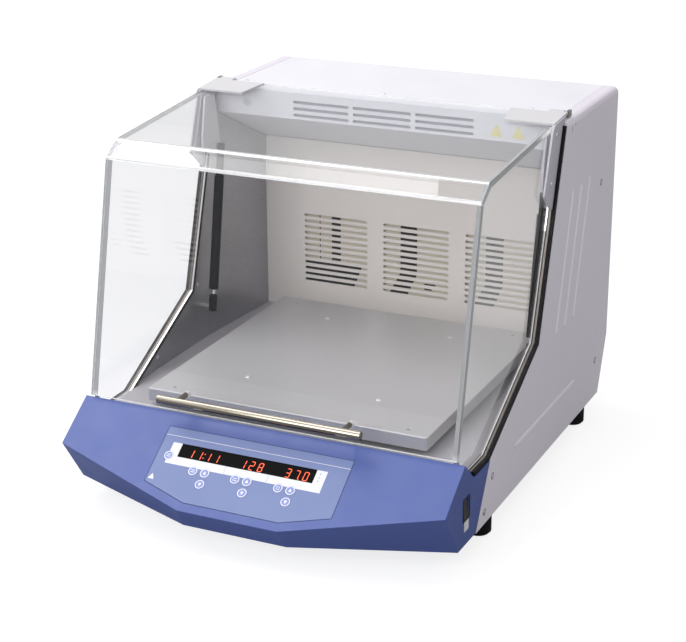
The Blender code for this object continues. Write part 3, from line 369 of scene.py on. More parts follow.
def ring_plate(bm, outer, inner, thick, matrix, steps=40):
    """A flat ring with softened upper edges."""
    soft = thick * 0.3
    profile = (
        (outer, 0), (outer, thick - soft), (outer - soft, thick),
        (inner + soft, thick), (inner, thick - soft), (inner, 0),
    )
    turned(bm, profile, matrix, steps, closed=True)


def slab(bm, outline, thick, matrix):
    """An extruded outline of (x, y) pairs in order."""
    rings(bm, [[matrix @ Vector((x, y, z)) for x, y in outline] for z in (0, thick)])


def in_mm(pairs):
    """Pairs of millimetres as pairs of metres."""
    return [(x * MM, y * MM) for x, y in pairs]


def box_outline(left, right, low, high, radius=0.0, steps=5):
    """A rectangle with rounded corners."""
    if not radius:
        return [(left, low), (right, low), (right, high), (left, high)]
    points = []
    for x, y, start in (
        (right - radius, high - radius, 0), (left + radius, high - radius, 90),
        (left + radius, low + radius, 180), (right - radius, low + radius, 270),
    ):
        for i in range(steps):
            a = math.radians(start + 90 * i / (steps - 1))
            points.append((x + radius * math.cos(a), y + radius * math.sin(a)))
    return points


SCREW_STEPS = 48
# Shares of a head's radius and height: its dome, then its recess from the rim down to the floor.
SCREW_DOME = ((1.0, 0.0), (1.0, 0.35), (0.93, 0.7), (0.78, 0.9))
SCREW_RECESS = ((1.0, 1.0), (0.82, 0.15))
CROSS_ARM, CROSS_REACH, HEX_REACH = 0.16, 0.56, 0.8


def add_screw(bm, at, out, radius=3.6 * MM, height=1.0 * MM, kind="cross"):
    """A domed screw head with a cross or hexagonal recess."""
    matrix = place(at, out)
    arm, reach = radius * CROSS_ARM, radius * CROSS_REACH

    def rim(a):
        if kind == "hex":
            return reach * HEX_REACH / math.cos((a + math.pi / 6) % (math.pi / 3) - math.pi / 6)
        c, s = abs(math.cos(a)) + 1e-9, abs(math.sin(a)) + 1e-9
        return max(min(reach / c, arm / s), min(arm / c, reach / s))

    loops = [circle(matrix, radius * share, height * lift, SCREW_STEPS) for share, lift in SCREW_DOME]
    for share, lift in SCREW_RECESS:
        loops.append(circle(matrix, lambda a: share * rim(a), height * lift, SCREW_STEPS))
    rings(bm, loops)


def side_spots(x, spots, facing=1):
    """(y, z) spots in mm on both sides at x, each with the way its head faces: 1 out, -1 in."""
    return [
        ((side * x * MM, y * MM, z * MM), (side * facing, 0, 0)) for side, _ in SIDES for y, z in spots
    ]


def screws(name, body, slot, spots, material, **sizes):
    """One piece for a set of alike screws, each a point and the way its head faces."""
    bm = bmesh.new()
    for at, out in spots:
        add_screw(bm, Vector(at), Vector(out), **sizes)
    return piece(name, bm, body, slot, material)


def welded(node):
    """A CAD node's mesh with its split corners joined and its flat faces whole."""
    bm = bmesh.new()
    bm.from_mesh(frame["nodes"][node].data)
    bmesh.ops.remove_doubles(bm, verts=bm.verts, dist=1e-6)
    bmesh.ops.dissolve_limit(
        bm, angle_limit=math.radians(0.5), verts=bm.verts, edges=bm.edges,
        use_dissolve_boundaries=False,
    )
    return bm


def softened(node, width, segments=2, angle=30):
    """Rounds a CAD node's edges with modifiers."""
    made = frame["nodes"][node]
    weld = made.modifiers.new("weld", "WELD")
    weld.merge_threshold = 1e-6
    bevel = made.modifiers.new("edges", "BEVEL")
    bevel.width = width
    bevel.segments = segments
    bevel.limit_method = "ANGLE"
    bevel.angle_limit = math.radians(angle)
    bevel.use_clamp_overlap = True
    bevel.harden_normals = True


# ---------------------------------------------------------------- blue housing and its panel

softened("control_housing", 1.6 * MM, 3, 20)
for node, width in (
    ("side_panel_left", 0.5 * MM), ("side_panel_right", 0.5 * MM), ("top_cover", 1.5 * MM),
    ("hinge_bracket_left", 0.7 * MM), ("hinge_bracket_right", 0.7 * MM),
    ("platform", 1.0 * MM), ("power_switch_rocker", 0.5 * MM), ("mains_inlet", 0.5 * MM),
):
    softened(node, width)

axis = Vector(next(j["axis"] for j in frame["joints"] if j["name"] == "press_standby"))
FACE = -axis.normalized()
UP_FACE = FACE.cross(RIGHT)
panel_points = [v.co for v in frame["nodes"]["control_panel"].data.vertices]
FACE_LEVEL = max(FACE.dot(p) for p in panel_points)


def face_turned(at):
    """A frame at a point, with X to the right, Y up the sloped face and Z out of it."""
    return Matrix.Translation(at) @ Matrix((RIGHT, UP_FACE, FACE)).transposed().to_4x4()


def on_face(x, y, lift=0.0):
    """The point of the sloped face above (x, y), lifted off it."""
    z = (FACE_LEVEL - FACE.y * y) / FACE.z
    return Vector((x, y, z)) + FACE * lift


def face_frame(x, y, lift=0.0):
    """The frame above (x, y) on the face."""
    return face_turned(on_face(x, y, lift))


def slope(y, origin):
    """How far up the face a y is from an origin's y."""
    return (y - origin) / UP_FACE.y


def face_slab(bm, left, right, low_y, high_y, lift, thick):
    """A thin rectangle on the face."""
    slab(bm, box_outline(left, right, 0, slope(high_y, low_y)), thick, face_frame(0, low_y, lift))


window_low, window_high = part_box("display_window")
WINDOW = (window_low.x, window_high.x)
window_ys = [
    v.co.y for v in frame["nodes"]["display_window"].data.vertices
    if FACE.dot(v.co) > FACE_LEVEL - 0.3 * MM
]
WINDOW_BOTTOM, WINDOW_TOP = min(window_ys), max(window_ys)

# The white print: a frame round the window's sides and foot, a line above it and a blank triangle.
PRINT = 0.06 * MM  # how far print stands off its surface
FRAME_LEFT, FRAME_RIGHT = WINDOW[0] - 14.2 * MM, WINDOW[1] + 15.5 * MM
FRAME_BOTTOM = WINDOW_BOTTOM - 10.2 * MM

frame_top, sill = slope(WINDOW_TOP, FRAME_BOTTOM), slope(WINDOW_BOTTOM, FRAME_BOTTOM)
LINE_Y, LINE_HALF, LINE_WIDE = WINDOW_TOP + 8.2 * MM, 140 * MM, 0.55 * MM
TRIANGLE = ((-4.6, -3.6), (4.6, -3.6), (0.5, 4.6), (-0.5, 4.6))
TRIANGLE_AT = (-133.5 * MM, -338.25 * MM)
bm = bmesh.new()
outline = [
    (FRAME_LEFT, frame_top), (FRAME_LEFT, 0), (FRAME_RIGHT, 0), (FRAME_RIGHT, frame_top),
    (WINDOW[1], frame_top), (WINDOW[1], sill), (WINDOW[0], sill), (WINDOW[0], frame_top),
]
slab(bm, outline, PRINT, face_frame(0, FRAME_BOTTOM))
face_slab(bm, -LINE_HALF, LINE_HALF, LINE_Y, LINE_Y + LINE_WIDE, 0, PRINT)
slab(bm, in_mm(TRIANGLE), PRINT, face_frame(*TRIANGLE_AT))
piece("panel_print", bm, "housing", "panel_film", WHITE_PRINT_AND_HIGHLIGHT)

# Pale marks on the white frame: the divisions of its lower strip, three small squares and a dot.
DIVISIONS, DIVISION_HALF = (-33.0, 31.6), 0.35 * MM
SQUARES_X, SQUARE_HIGH = (101 * MM, 103 * MM), 1.5 * MM
MARK = PRINT / 2
bm = bmesh.new()
for x in DIVISIONS:
    face_slab(
        bm, x * MM - DIVISION_HALF, x * MM + DIVISION_HALF,
        FRAME_BOTTOM + 0.8 * MM, WINDOW_BOTTOM - 1.0 * MM, PRINT, MARK,
    )
for row in range(3):
    y = WINDOW_TOP - (5.2 + 4.6 * row) * MM
    face_slab(bm, *SQUARES_X, y, y + SQUARE_HIGH, PRINT, MARK)
turned(bm, ((0.7 * MM, 0), (0.7 * MM, MARK)), face_frame(82 * MM, -313.5 * MM, PRINT), 16)
PALE_PRINT = moulded("pale_print", shade(150, 158, 190), 0.45, 0.00001)
piece("panel_marks", bm, "housing", "panel_film", PALE_PRINT)


def hull(points):
    """The convex outline of some (x, y) pairs, in order."""
    points = sorted(set(points))

    def half(run):
        out = []
        for p in run:
            while len(out) > 1 and (
                (out[-1][0] - out[-2][0]) * (p[1] - out[-2][1])
                - (out[-1][1] - out[-2][1]) * (p[0] - out[-2][0])
            ) <= 1e-12:
                out.pop()
            out.append(p)
        return out[:-1]

    return half(points) + half(reversed(points))


def inset(outline, by):
    """A convex outline moved inwards."""
    count = len(outline)
    moved = []
    for i in range(count):
        here = Vector(outline[i])
        before = (here - Vector(outline[i - 1])).normalized()
        after = (Vector(outline[(i + 1) % count]) - here).normalized()
        left = (Vector((-before.y, before.x)) + Vector((-after.y, after.x)))
        moved.append(here + left * (by / (left.length_squared / 2)))
    return [tuple(p) for p in moved]


# A thin dark seam round the panel's film: where it lies about the film's edge, and how high.
SEAM = ((-0.25 * MM, 0), (-0.25 * MM, 0.04 * MM), (0.35 * MM, 0.04 * MM), (0.35 * MM, 0))
panel_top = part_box("control_panel")[1].y
base_frame = face_frame(0, panel_top)
to_face = base_frame.inverted()
flat = [to_face @ p for p in panel_points]
outline = hull([(round(p.x, 6), round(p.y, 6)) for p in flat if p.z > -0.05 * MM])
bm = bmesh.new()
rings(bm, [
    [base_frame @ Vector((x, y, height)) for x, y in inset(outline, by)] for by, height in SEAM
], closed=True)
piece("panel_seam", bm, "housing", "panel_film", DARK_GAP)

# Lit digits, seven segments each.
DIGIT_WIDE, DIGIT_HIGH, STROKE, LEAN = 7.0 * MM, 13.9 * MM, 1.15 * MM, 0.055
DIGIT_STEP, DIGIT_GAP, DIGIT_THICK = 13.1, 0.16 * MM, 0.1 * MM
READINGS = (("1111", -48.9), ("128", 18.6), ("370", 86.4))  # each with its right edge in mm
DOTS = ((-71.6, 4.0), (-71.0, 10.4), (73.9, 0.8))
DOT_RADIUS = 0.8 * MM
SEGMENTS = {
    "0": "abcdef", "1": "bc", "2": "abged", "3": "abgcd", "7": "abc", "8": "abcdefg",
}


def segment(letter):
    """The outline of one segment in a digit's cell, its lower left corner at the origin."""
    w, h, gap, half = DIGIT_WIDE, DIGIT_HIGH, DIGIT_GAP, STROKE / 2
    if letter in "agd":
        y = {"a": h - half, "g": h / 2, "d": half}[letter]
        left, right = half + gap, w - half - gap
        return [
            (left, y), (left + half, y - half), (right - half, y - half),
            (right, y), (right - half, y + half), (left + half, y + half),
        ]
    x = w - half if letter in "bc" else half
    low, high = (h / 2 + gap, h - half - gap) if letter in "bf" else (half + gap, h / 2 - gap)
    return [
        (x, low), (x + half, low + half), (x + half, high - half),
        (x, high), (x - half, high - half), (x - half, low + half),
    ]


bm = bmesh.new()
baseline = WINDOW_BOTTOM + 1.0 * MM
for text, right_edge in READINGS:
    for from_right, digit in enumerate(reversed(text)):
        left = (right_edge - DIGIT_STEP * from_right) * MM - DIGIT_WIDE
        for letter in SEGMENTS[digit]:
            outline = [(left + x + LEAN * y, y) for x, y in segment(letter)]
            slab(bm, outline, DIGIT_THICK, face_frame(0, baseline))
for x, up in DOTS:
    at = face_frame(x * MM, baseline) @ Matrix.Translation((0, up * MM, 0))
    turned(bm, ((DOT_RADIUS, 0), (DOT_RADIUS, DIGIT_THICK)), at, 20)
piece("display_digits", bm, "housing", "display", LED)

# Rings and signs on the keys.
ARROW = (
    (-2.3, -1.7), (-1.6, -2.4), (1.6, -2.4), (2.3, -1.7), (0.9, 2.2), (0.0, 2.8), (-0.9, 2.2),
)
ARROW_SHARE = 0.95
KEY_PRINT = 0.05 * MM
KEY_RING = (6.7 * MM, 5.35 * MM)
BARS_Y, BAR_LONG, BAR_HALF, BAR_ROUND = (1.5, -1.5), 3.2 * MM, 0.55, 0.3 * MM


def key_frame(node):
    """The frame in the middle of a key's top."""
    low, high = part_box(node)
    middle = (low + high) / 2
    # The disc's middle lies half its thickness under its top, along the normal.
    top = max(FACE.dot(v.co) for v in frame["nodes"][node].data.vertices)
    return face_turned(middle + FACE * (top - FACE.dot(middle)))


for node in sorted(n for n in frame["nodes"] if n.startswith("key_")):
    at = key_frame(node)
    bm = bmesh.new()
    ring_plate(bm, *KEY_RING, KEY_PRINT, at)
    if node.endswith("up") or node.endswith("down"):
        flip = 1 if node.endswith("up") else -1
        outline = [(x * MM * ARROW_SHARE, y * flip * MM * ARROW_SHARE) for x, y in ARROW]
        slab(bm, outline if flip > 0 else list(reversed(outline)), KEY_PRINT, at)
    elif node == "key_temperature_set":
        outer, inner = 2.3 * MM, 1.6 * MM  # a hollow square
        for a, b, c, d in (
            (-outer, outer, inner, outer), (-outer, outer, -outer, -inner),
            (-outer, -inner, -inner, inner), (inner, outer, -inner, inner),
        ):
            slab(bm, box_outline(a, b, c, d), KEY_PRINT, at)
    else:
        for y in BARS_Y:
            low, high = (y - BAR_HALF) * MM, (y + BAR_HALF) * MM
            slab(bm, box_outline(-BAR_LONG, BAR_LONG, low, high, BAR_ROUND), KEY_PRINT, at)
    piece(node + "_sign", bm, node, "key_film", WHITE_PRINT_AND_HIGHLIGHT)


# ---------------------------------------------------------------- acrylic hood

def end_loop(node):
    """The outer outline of a node's right-hand end, as (y, z) pairs, anticlockwise."""
    bm = welded(node)
    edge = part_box(node)[1].x
    flat = {
        f for f in bm.faces if abs(f.normal.x) > 0.99 and f.calc_center_median().x > edge - 1e-4
    }
    rim = [e for e in bm.edges if sum(f in flat for f in e.link_faces) == 1]
    runs = []
    while rim:
        run = list(rim.pop().verts)
        while run[-1] is not run[0]:
            link = next(e for e in rim if run[-1] in e.verts)
            rim.remove(link)
            run.append(link.other_vert(run[-1]))
        runs.append([Vector((v.co.y, v.co.z)) for v in run[:-1]])
    bm.free()
    points = max(runs, key=lambda run: sum((a - b).length for a, b in zip(run, run[1:] + run[:1])))
    # Corners closer than this would cross when the outline is inset.
    least = 1 * MM
    corners = []
    for i, here in enumerate(points):
        before, after = here - points[i - 1], points[(i + 1) % len(points)] - here
        apart = not corners or (here - Vector(corners[-1])).length > least
        if before.angle(after) > math.radians(1) and apart:
            corners.append(tuple(here))
    if (Vector(corners[0]) - Vector(corners[-1])).length < least:
        corners.pop()
    area = sum(a[0] * b[1] - a[1] * b[0] for a, b in zip(corners, corners[1:] + corners[:1]))
    return corners if area > 0 else corners[::-1]


def rounded(loop, outer, inner, end, steps=8):
    """Fillets an anticlockwise loop: bends get the outer or inner radius, square ends their own.

    Each point comes with whether it lies in a bend."""
    out = []
    count = len(loop)
    for i in range(count):
        here = Vector(loop[i])
        before = (Vector(loop[i - 1]) - here)
        after = (Vector(loop[(i + 1) % count]) - here)
        turn = math.pi - before.angle(after)
        cross = -before.x * after.y + before.y * after.x
        bend = math.degrees(turn) < 70
        radius = (outer if cross > 0 else inner) if bend else end
        reach = radius * math.tan(turn / 2)
        start = here + before.normalized() * reach
        stop = here + after.normalized() * reach
        toward = (before.normalized() + after.normalized()).normalized()
        centre = here + toward * (radius / math.cos(turn / 2))
        for k in range(steps + 1 if bend else 3):
            share = k / (steps if bend else 2)
            ray = (start - centre).lerp(stop - centre, share).normalized() * radius
            out.append(((centre + ray), bend))
    return out


# The bent sheet. Its materials' places, by where a face lies; the bends' faces get a cloudy white, a
# painted highlight.
CLEAR, CUT, BEND, REAR = range(4)
OUTER_BEND, INNER_BEND, END_ROUND, CUT_CHAMFER = 6 * MM, 2 * MM, 0.5 * MM, 0.45 * MM
BEND_FACET, CUT_WIDE = 6 * MM, 9 * MM  # faces narrower than these are a bend's, or a cut edge
REAR_Y = 140 * MM
canopy_low, canopy_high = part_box("hood_canopy")
outline = rounded(end_loop("hood_canopy"), OUTER_BEND, INNER_BEND, END_ROUND)
middle_line = [p for p, _ in outline]
bm = bmesh.new()
rings(bm, [[Vector((x, p.x, p.y)) for p in middle_line] for x in (canopy_low.x, canopy_high.x)])
bm.normal_update()
for f in bm.faces:
    centre = f.calc_center_median()
    if abs(f.normal.x) > 0.9:
        f.material_index = CUT
        continue
    span = max((a.co - b.co).length for a in f.verts for b in f.verts if abs(a.co.x - b.co.x) < 1e-6)
    near = min(
        range(len(middle_line)),
        key=lambda i: (middle_line[i] - Vector((centre.y, centre.z))).length,
    )
    if f.normal.y > 0.8 and centre.y > REAR_Y:
        f.material_index = REAR
    elif outline[near][1] and span < BEND_FACET:
        f.material_index = BEND
    else:
        f.material_index = CUT if span < CUT_WIDE else CLEAR
ends = [e for e in bm.edges if abs(e.verts[0].co.x - e.verts[1].co.x) < 1e-6]
bmesh.ops.bevel(
    bm, geom=ends, offset=CUT_CHAMFER, segments=2, affect="EDGES", profile=0.5, clamp_overlap=True
)
canopy = piece(
    "hood_canopy_sheet", bm, "hood", "acrylic",
    PAINT["acrylic"], ACRYLIC_EDGE, ACRYLIC_BEND_HIGHLIGHT, ACRYLIC_REAR, smooth=25,
)
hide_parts("hood_canopy")


def sheet_between(bm, left, right, loop, bevel):
    """An upright sheet from an outline of (y, z) pairs, with a small chamfer round its cut edges."""
    loops = []
    for x, by in ((left, bevel), (left + bevel, 0), (right - bevel, 0), (right, bevel)):
        loops.append([Vector((x, y, z)) for y, z in inset(loop, by)])
    rings(bm, loops)
    bm.normal_update()
    if bm.calc_volume(signed=True) < 0:
        bmesh.ops.reverse_faces(bm, faces=bm.faces)
        bm.normal_update()
    for f in bm.faces:
        # The faces and the polished rear edge are clear; the glued front and top edges are cloudy.
        f.material_index = CLEAR if len(f.verts) > 4 or f.normal.y > 0.2 else CUT


CHEEK_CHAMFER = 0.4 * MM
for side in ("left", "right"):
    low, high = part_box("hood_side_" + side)
    bm = bmesh.new()
    sheet_between(bm, low.x, high.x, end_loop("hood_side_" + side), CHEEK_CHAMFER)
    sheet = piece(
        "hood_sheet_" + side, bm, "hood", "acrylic", PAINT["acrylic"], ACRYLIC_EDGE, smooth=25
    )
    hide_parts("hood_side_" + side)


# ---------------------------------------------------------------- opening seals and bracket plates

def prism_x(bm, loop, left, right, material=0):
    """A solid between two x planes from an outline of (y, z) pairs."""
    first = len(bm.faces)
    rings(bm, [[Vector((x, y, z)) for y, z in loop] for x in (left, right)])
    bm.faces.ensure_lookup_table()
    for f in bm.faces[first:]:
        f.material_index = material


# Two rubber lips and the strip between them: from x, to x in mm, and the material's place.
SEAL_BANDS = ((271.5, 280.5, 0), (280.6, 283.6, 1), (283.7, 288.9, 0))
seal_loop = end_loop("opening_seal_right")
for side, name in SIDES:
    bm = bmesh.new()
    for low, high, material in SEAL_BANDS:
        prism_x(bm, seal_loop, *sorted((side * low * MM, side * high * MM)), material)
    seal = piece("seal_bands_" + name, bm, "housing", "rubber", PAINT["rubber"], TRIM_STRIP)
    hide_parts("opening_seal_" + name)

# The plate outside each cheek: straight foot, rounded front corner, clear of the seal behind it.
PLATE_SKIN = in_mm((
    (48.3, 430.2), (51.1, 428.3), (80.8, 404.0), (84.7, 402.4), (119.1, 515.9),
    (129.8, 517.2), (131.0, 526.8), (86.2, 523.6), (80.6, 519.6), (77.6, 514.0),
))
PLATE_INNER, PLATE_OUTER = 282.9, 284.9
PLATE_BOLTS = ((95.0, 507.0), (78.0, 440.0))
for side, name in SIDES:
    bm = bmesh.new()
    prism_x(bm, PLATE_SKIN, *sorted((side * PLATE_INNER * MM, side * PLATE_OUTER * MM)))
    piece("bracket_plate_" + name, bm, "hood", "bracket_paint", PLATE_PAINT)
screws(
    "plate_bolts", "hood", "bracket_paint", side_spots(PLATE_OUTER, PLATE_BOLTS),
    PLATED, radius=4.0 * MM, height=1.4 * MM, kind="hex",
)

# A thin pale strip, a painted highlight along the lid's bend. The hood sheet's outer
# bends and its front foot, as (y, z), are where the CAD has them.
LID_BEND, FRONT_TOP, FRONT_FOOT = (
    Vector(p) * MM for p in ((-154.05, 503.2), (-185.35, 483.6), (-256.3, 152.0))
)
BEND_HIGHLIGHT_STRIP = ((1.7, 0.02), (5.0, 0.02), (5.0, 0.08), (1.7, 0.08))
fall = (FRONT_TOP - LID_BEND).normalized()
outward = Vector((fall.y, -fall.x))
bm = bmesh.new()
prism_x(
    bm, [tuple(LID_BEND + fall * a * MM + outward * b * MM) for a, b in BEND_HIGHLIGHT_STRIP],
    canopy_low.x + 1 * MM, canopy_high.x - 1 * MM,
)
piece("hood_bend_highlight", bm, "hood", "acrylic", BEND_HIGHLIGHT)

# ---------------------------------------------------------------- pressed beads on the side panels

# Three slanting beads a step apart and a level one, each from (y, z) to (y, z).
BEAD_LINES = [
    [(y + 0.040 * i, z) for y, z in ((0.1106, 0.206), (0.1660, 0.409))] for i in range(3)
] + [[(-0.0568, 0.095), (0.2062, 0.095)]]
# Along a bead: the share of its length, and how much of its full section it has there.
BEAD_TAPER = ((0.0, 0.35), (0.012, 0.8), (0.03, 1.0), (0.97, 1.0), (0.988, 0.8), (1.0, 0.35))
BEAD_HALF, BEAD_RISE, BEAD_SUNK, BEAD_PAST = 4.6, 1.12, 0.3, 0.002
BEAD_STEPS = 12
for side, name in SIDES:
    bm = bmesh.new()
    for line in BEAD_LINES:
        start, stop = (Vector(p) for p in line)
        along = (stop - start).normalized()
        across = Vector((-along.y, along.x))
        loops = []
        for share, full in BEAD_TAPER:
            at = (start - along * BEAD_PAST).lerp(stop + along * BEAD_PAST, share)
            loop = []
            for k in range(BEAD_STEPS + 1):
                u = -1 + k / (BEAD_STEPS / 2)
                p = at + across * u * BEAD_HALF * MM * full
                rise = BEAD_RISE * MM * full * (1 - u ** 4)
                loop.append(Vector((side * (SIDE_FACE * MM + rise), p.x, p.y)))
            for end in (1, -1):
                p = at + across * BEAD_HALF * MM * full * end
                loop.append(Vector((side * (SIDE_FACE - BEAD_SUNK) * MM, *p)))
            loops.append(loop)
        rings(bm, loops)
    # The beads take the lighter paint, a painted highlight.
    piece("side_beads_" + name, bm, "housing", "side_paint", BEAD_HIGHLIGHT_PAINT, smooth=60)

# ---------------------------------------------------------------- screws

# In mm: (y, z) on the sides and the walls, x on the top cover, (x, y) on the platform, (x, z) behind.
SIDE_SCREWS = ((304.3, 386.6), (314.9, 92.0), (-147.2, 88.7), (-175.6, 46.9))
WALL_SCREWS, WALL_FACE = ((59, 219), (-69.5, 143)), 280
TOP_SCREWS, TOP_SCREWS_Y = (-251.7, -18.9, 215.7), 183
PLATFORM_SCREWS = ((-104, -106.8), (104, -106.8), (-105, 163.3), (105, 163.3))
REAR_SCREWS = [(x, z) for x in (-262, 262) for z in (140, 320, 492)] + [(0, 140), (0, 492)]
SCREW_RING_SHADE_RING = (5.2 * MM, 4.0 * MM, 0.12 * MM)

spots = side_spots(SIDE_FACE, SIDE_SCREWS)
screws("side_screws", "housing", "side_paint", spots, PLATED, radius=3.9 * MM, height=0.95 * MM)
# A dark ring round each side screw: painted shade of its dimple.
bm = bmesh.new()
for at, out in spots:
    ring_plate(bm, *SCREW_RING_SHADE_RING, place(Vector(at), Vector(out)))
piece("side_screw_ring_shades", bm, "housing", "side_paint", SCREW_RING_SHADE)
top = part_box("top_cover")[1].z
screws(
    "top_screws", "housing", "steel", [((x * MM, TOP_SCREWS_Y * MM, top), UP) for x in TOP_SCREWS],
    PLATED, radius=3.2 * MM, height=1.3 * MM,
)
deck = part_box("platform")[1].z
screws(
    "platform_screws", "platform", "steel",
    [((x * MM, y * MM, deck), UP) for x, y in PLATFORM_SCREWS],
    PLATED, radius=4.0 * MM, height=1.0 * MM, kind="hex",
)
rear_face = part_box("rear_panel")[1].y
screws(
    "rear_screws", "housing", "side_paint",
    [((x * MM, rear_face, z * MM), BACK) for x, z in REAR_SCREWS],
    PLATED, radius=3.6 * MM, height=0.9 * MM,
)
screws(
    "wall_screws", "housing", "steel", side_spots(WALL_FACE, WALL_SCREWS, facing=-1),
    PLATED, radius=3.4 * MM, height=2.0 * MM,
)

# A thin pale strip, a painted highlight along the platform's front top edge.
EDGE_HALF, EDGE_DEEP, EDGE_THICK, EDGE_BACK = 214.5 * MM, 1.3 * MM, 0.08 * MM, 1.1 * MM
deck_low, deck_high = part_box("platform")
bm = bmesh.new()
slab(
    bm, box_outline(-EDGE_HALF, EDGE_HALF, 0, EDGE_DEEP), EDGE_THICK,
    Matrix.Translation((0, deck_low.y + EDGE_BACK, deck_high.z)),
)
piece("platform_edge_highlight", bm, "platform", "aluminium", WHITE_PRINT_AND_HIGHLIGHT)

# ---------------------------------------------------------------- gas springs

# The collar at the foot of each rod, on the spring's line as the CAD has it.
SPRING_FOOT, SPRING_HEAD = Vector((0, 68.25, 183.0)) * MM, Vector((0, 108.25, 425.0)) * MM
SPRING_X, COLLAR_UP, COLLAR_RADIUS, COLLAR_LONG = 258.6, 20.5, 3.4 * MM, 6.6 * MM
spring_along = (SPRING_HEAD - SPRING_FOOT).normalized()
for side, name in SIDES:
    bm = bmesh.new()
    at = SPRING_FOOT + spring_along * COLLAR_UP * MM + RIGHT * side * SPRING_X * MM
    turned(bm, ((COLLAR_RADIUS, 0), (COLLAR_RADIUS, COLLAR_LONG)), place(at, spring_along), 24)
    piece("spring_collar_" + name, bm, "spring_rod_" + name, "steel", BRIGHT_STEEL)

# ---------------------------------------------------------------- baffle behind the back wall's grilles

def front_plate(bm, y, left, right, low, high, thick, radius=0.0):
    """A flat plate at y that faces the front, its other measures in mm."""
    outline = box_outline(left * MM, right * MM, low * MM, high * MM, radius * MM)
    slab(bm, outline, thick * MM, place((0, y, 0), FRONT))


BAFFLE_THICK = 0.8
# Painted shade: what shows dark through the left, middle and right grille, as (x, z), and two small dark
# shapes.
BAFFLE_SHADE_SHAPES = (
    ((-206, 160), (-114, 160), (-96, 206), (-134, 206),
     (-134, 294), (-150, 294), (-150, 206), (-206, 206)),
    ((-52, 160), (-20, 160), (0.7, 206), (0.7, 294), (-28, 294), (-28, 206)),
    ((88, 160), (122, 160), (140, 206), (140, 294), (111, 294), (111, 206)),
    ((-171.8, 206), (-170.2, 206), (-170.2, 294), (-171.8, 294)),
    ((14, 183), (27, 183), (27, 187), (18, 187), (18, 190), (33, 190), (33, 193.5), (14, 193.5)),
)
back_low, back_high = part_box("chamber_back")
BAFFLE_Y = back_high.y + 5.5 * MM
bm = bmesh.new()
front_plate(bm, BAFFLE_Y, -206, 206, 160, 294, BAFFLE_THICK, radius=3)
piece("baffle", bm, "housing", "chamber_steel", BAFFLE)
# Dark shapes on the baffle: painted shade behind the grilles.
bm = bmesh.new()
for outline in BAFFLE_SHADE_SHAPES:
    slab(bm, in_mm(outline), 0.3 * MM, place((0, BAFFLE_Y - BAFFLE_THICK * MM, 0), FRONT))
piece("baffle_shade_shapes", bm, "housing", "chamber_steel", BAFFLE_SHADE)

# ---------------------------------------------------------------- fascia marks

CAP_X, CAP_Z = -224.7, 493.7
CAP_RING = (8.0 * MM, 5.4 * MM, 1.2 * MM)
CAP_PLUG = in_mm(((5.2, 0), (5.2, 0.5), (4.6, 0.9), (1.6, 1.0), (1.3, 0.5)))
SIGN_XS, SIGN_Z = (181, 214.5), 489.2
SIGN = in_mm(((-9.4, -9.0), (9.4, -9.0), (0.7, 9.2), (-0.7, 9.2)))

fascia_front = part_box("fascia")[0].y
bm = bmesh.new()
front_plate(bm, fascia_front + 6 * MM, -150, 150, 473, 506, 0.6)
piece("fascia_backing", bm, "housing", "top_paint", BACKING)
bm = bmesh.new()
front_plate(bm, back_low.y - 0.2 * MM, -264, 264, 399, 406, 0.6)
piece("back_top_strip", bm, "housing", "chamber_steel")
cap_at = place((CAP_X * MM, fascia_front, CAP_Z * MM), FRONT)
bm = bmesh.new()
ring_plate(bm, *CAP_RING, cap_at)
piece("fascia_ring", bm, "housing", "top_paint", WHITE_PRINT_AND_HIGHLIGHT)
bm = bmesh.new()
turned(bm, CAP_PLUG, cap_at)
GREY_PLUG = moulded("grey_plug", shade(188, 188, 200), 0.45)
piece("fascia_plug", bm, "housing", "top_paint", GREY_PLUG)
bm = bmesh.new()
for x in SIGN_XS:
    slab(bm, SIGN, 0.15 * MM, place((x * MM, fascia_front, SIGN_Z * MM), FRONT))
piece("fascia_stickers", bm, "housing", "top_paint", YELLOW)

# ---------------------------------------------------------------- power switch surround

# Each loop of the bezel: how far outside the rocker, and how high off the housing, in mm.
BEZEL = ((2.5, 0.0), (2.5, 0.5), (2.0, 0.9), (1.5, 0.9), (1.3, 0.6), (1.3, 0.02), (1.8, 0.0))
LABEL_Y, LABEL_Z, LABEL_HALF = -243.8, 59, 8 * MM
rocker_low, rocker_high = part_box("power_switch_rocker")
middle, half = (rocker_low + rocker_high) / 2, (rocker_high - rocker_low) / 2
plate = place((SIDE_FACE * MM, middle.y, middle.z), RIGHT)
loops = []
for grow, height in BEZEL:
    wide, high = half.y + grow * MM, half.z + grow * MM
    corner = (0.8 + grow * 0.5) * MM
    loops.append([
        plate @ Vector((x, y, height * MM)) for x, y in box_outline(-wide, wide, -high, high, corner)
    ])
bm = bmesh.new()
rings(bm, loops, closed=True)
piece("switch_bezel", bm, "housing", "switch_black", BLACK_PLASTIC)
bm = bmesh.new()
slab(
    bm, box_outline(-LABEL_HALF, LABEL_HALF, -LABEL_HALF, LABEL_HALF, 1 * MM), 0.12 * MM,
    place((SIDE_FACE * MM, LABEL_Y * MM, LABEL_Z * MM), RIGHT),
)
piece("side_sticker", bm, "housing", "blue_plastic", WHITE_PRINT_AND_HIGHLIGHT)

# ---------------------------------------------------------------- handle fittings

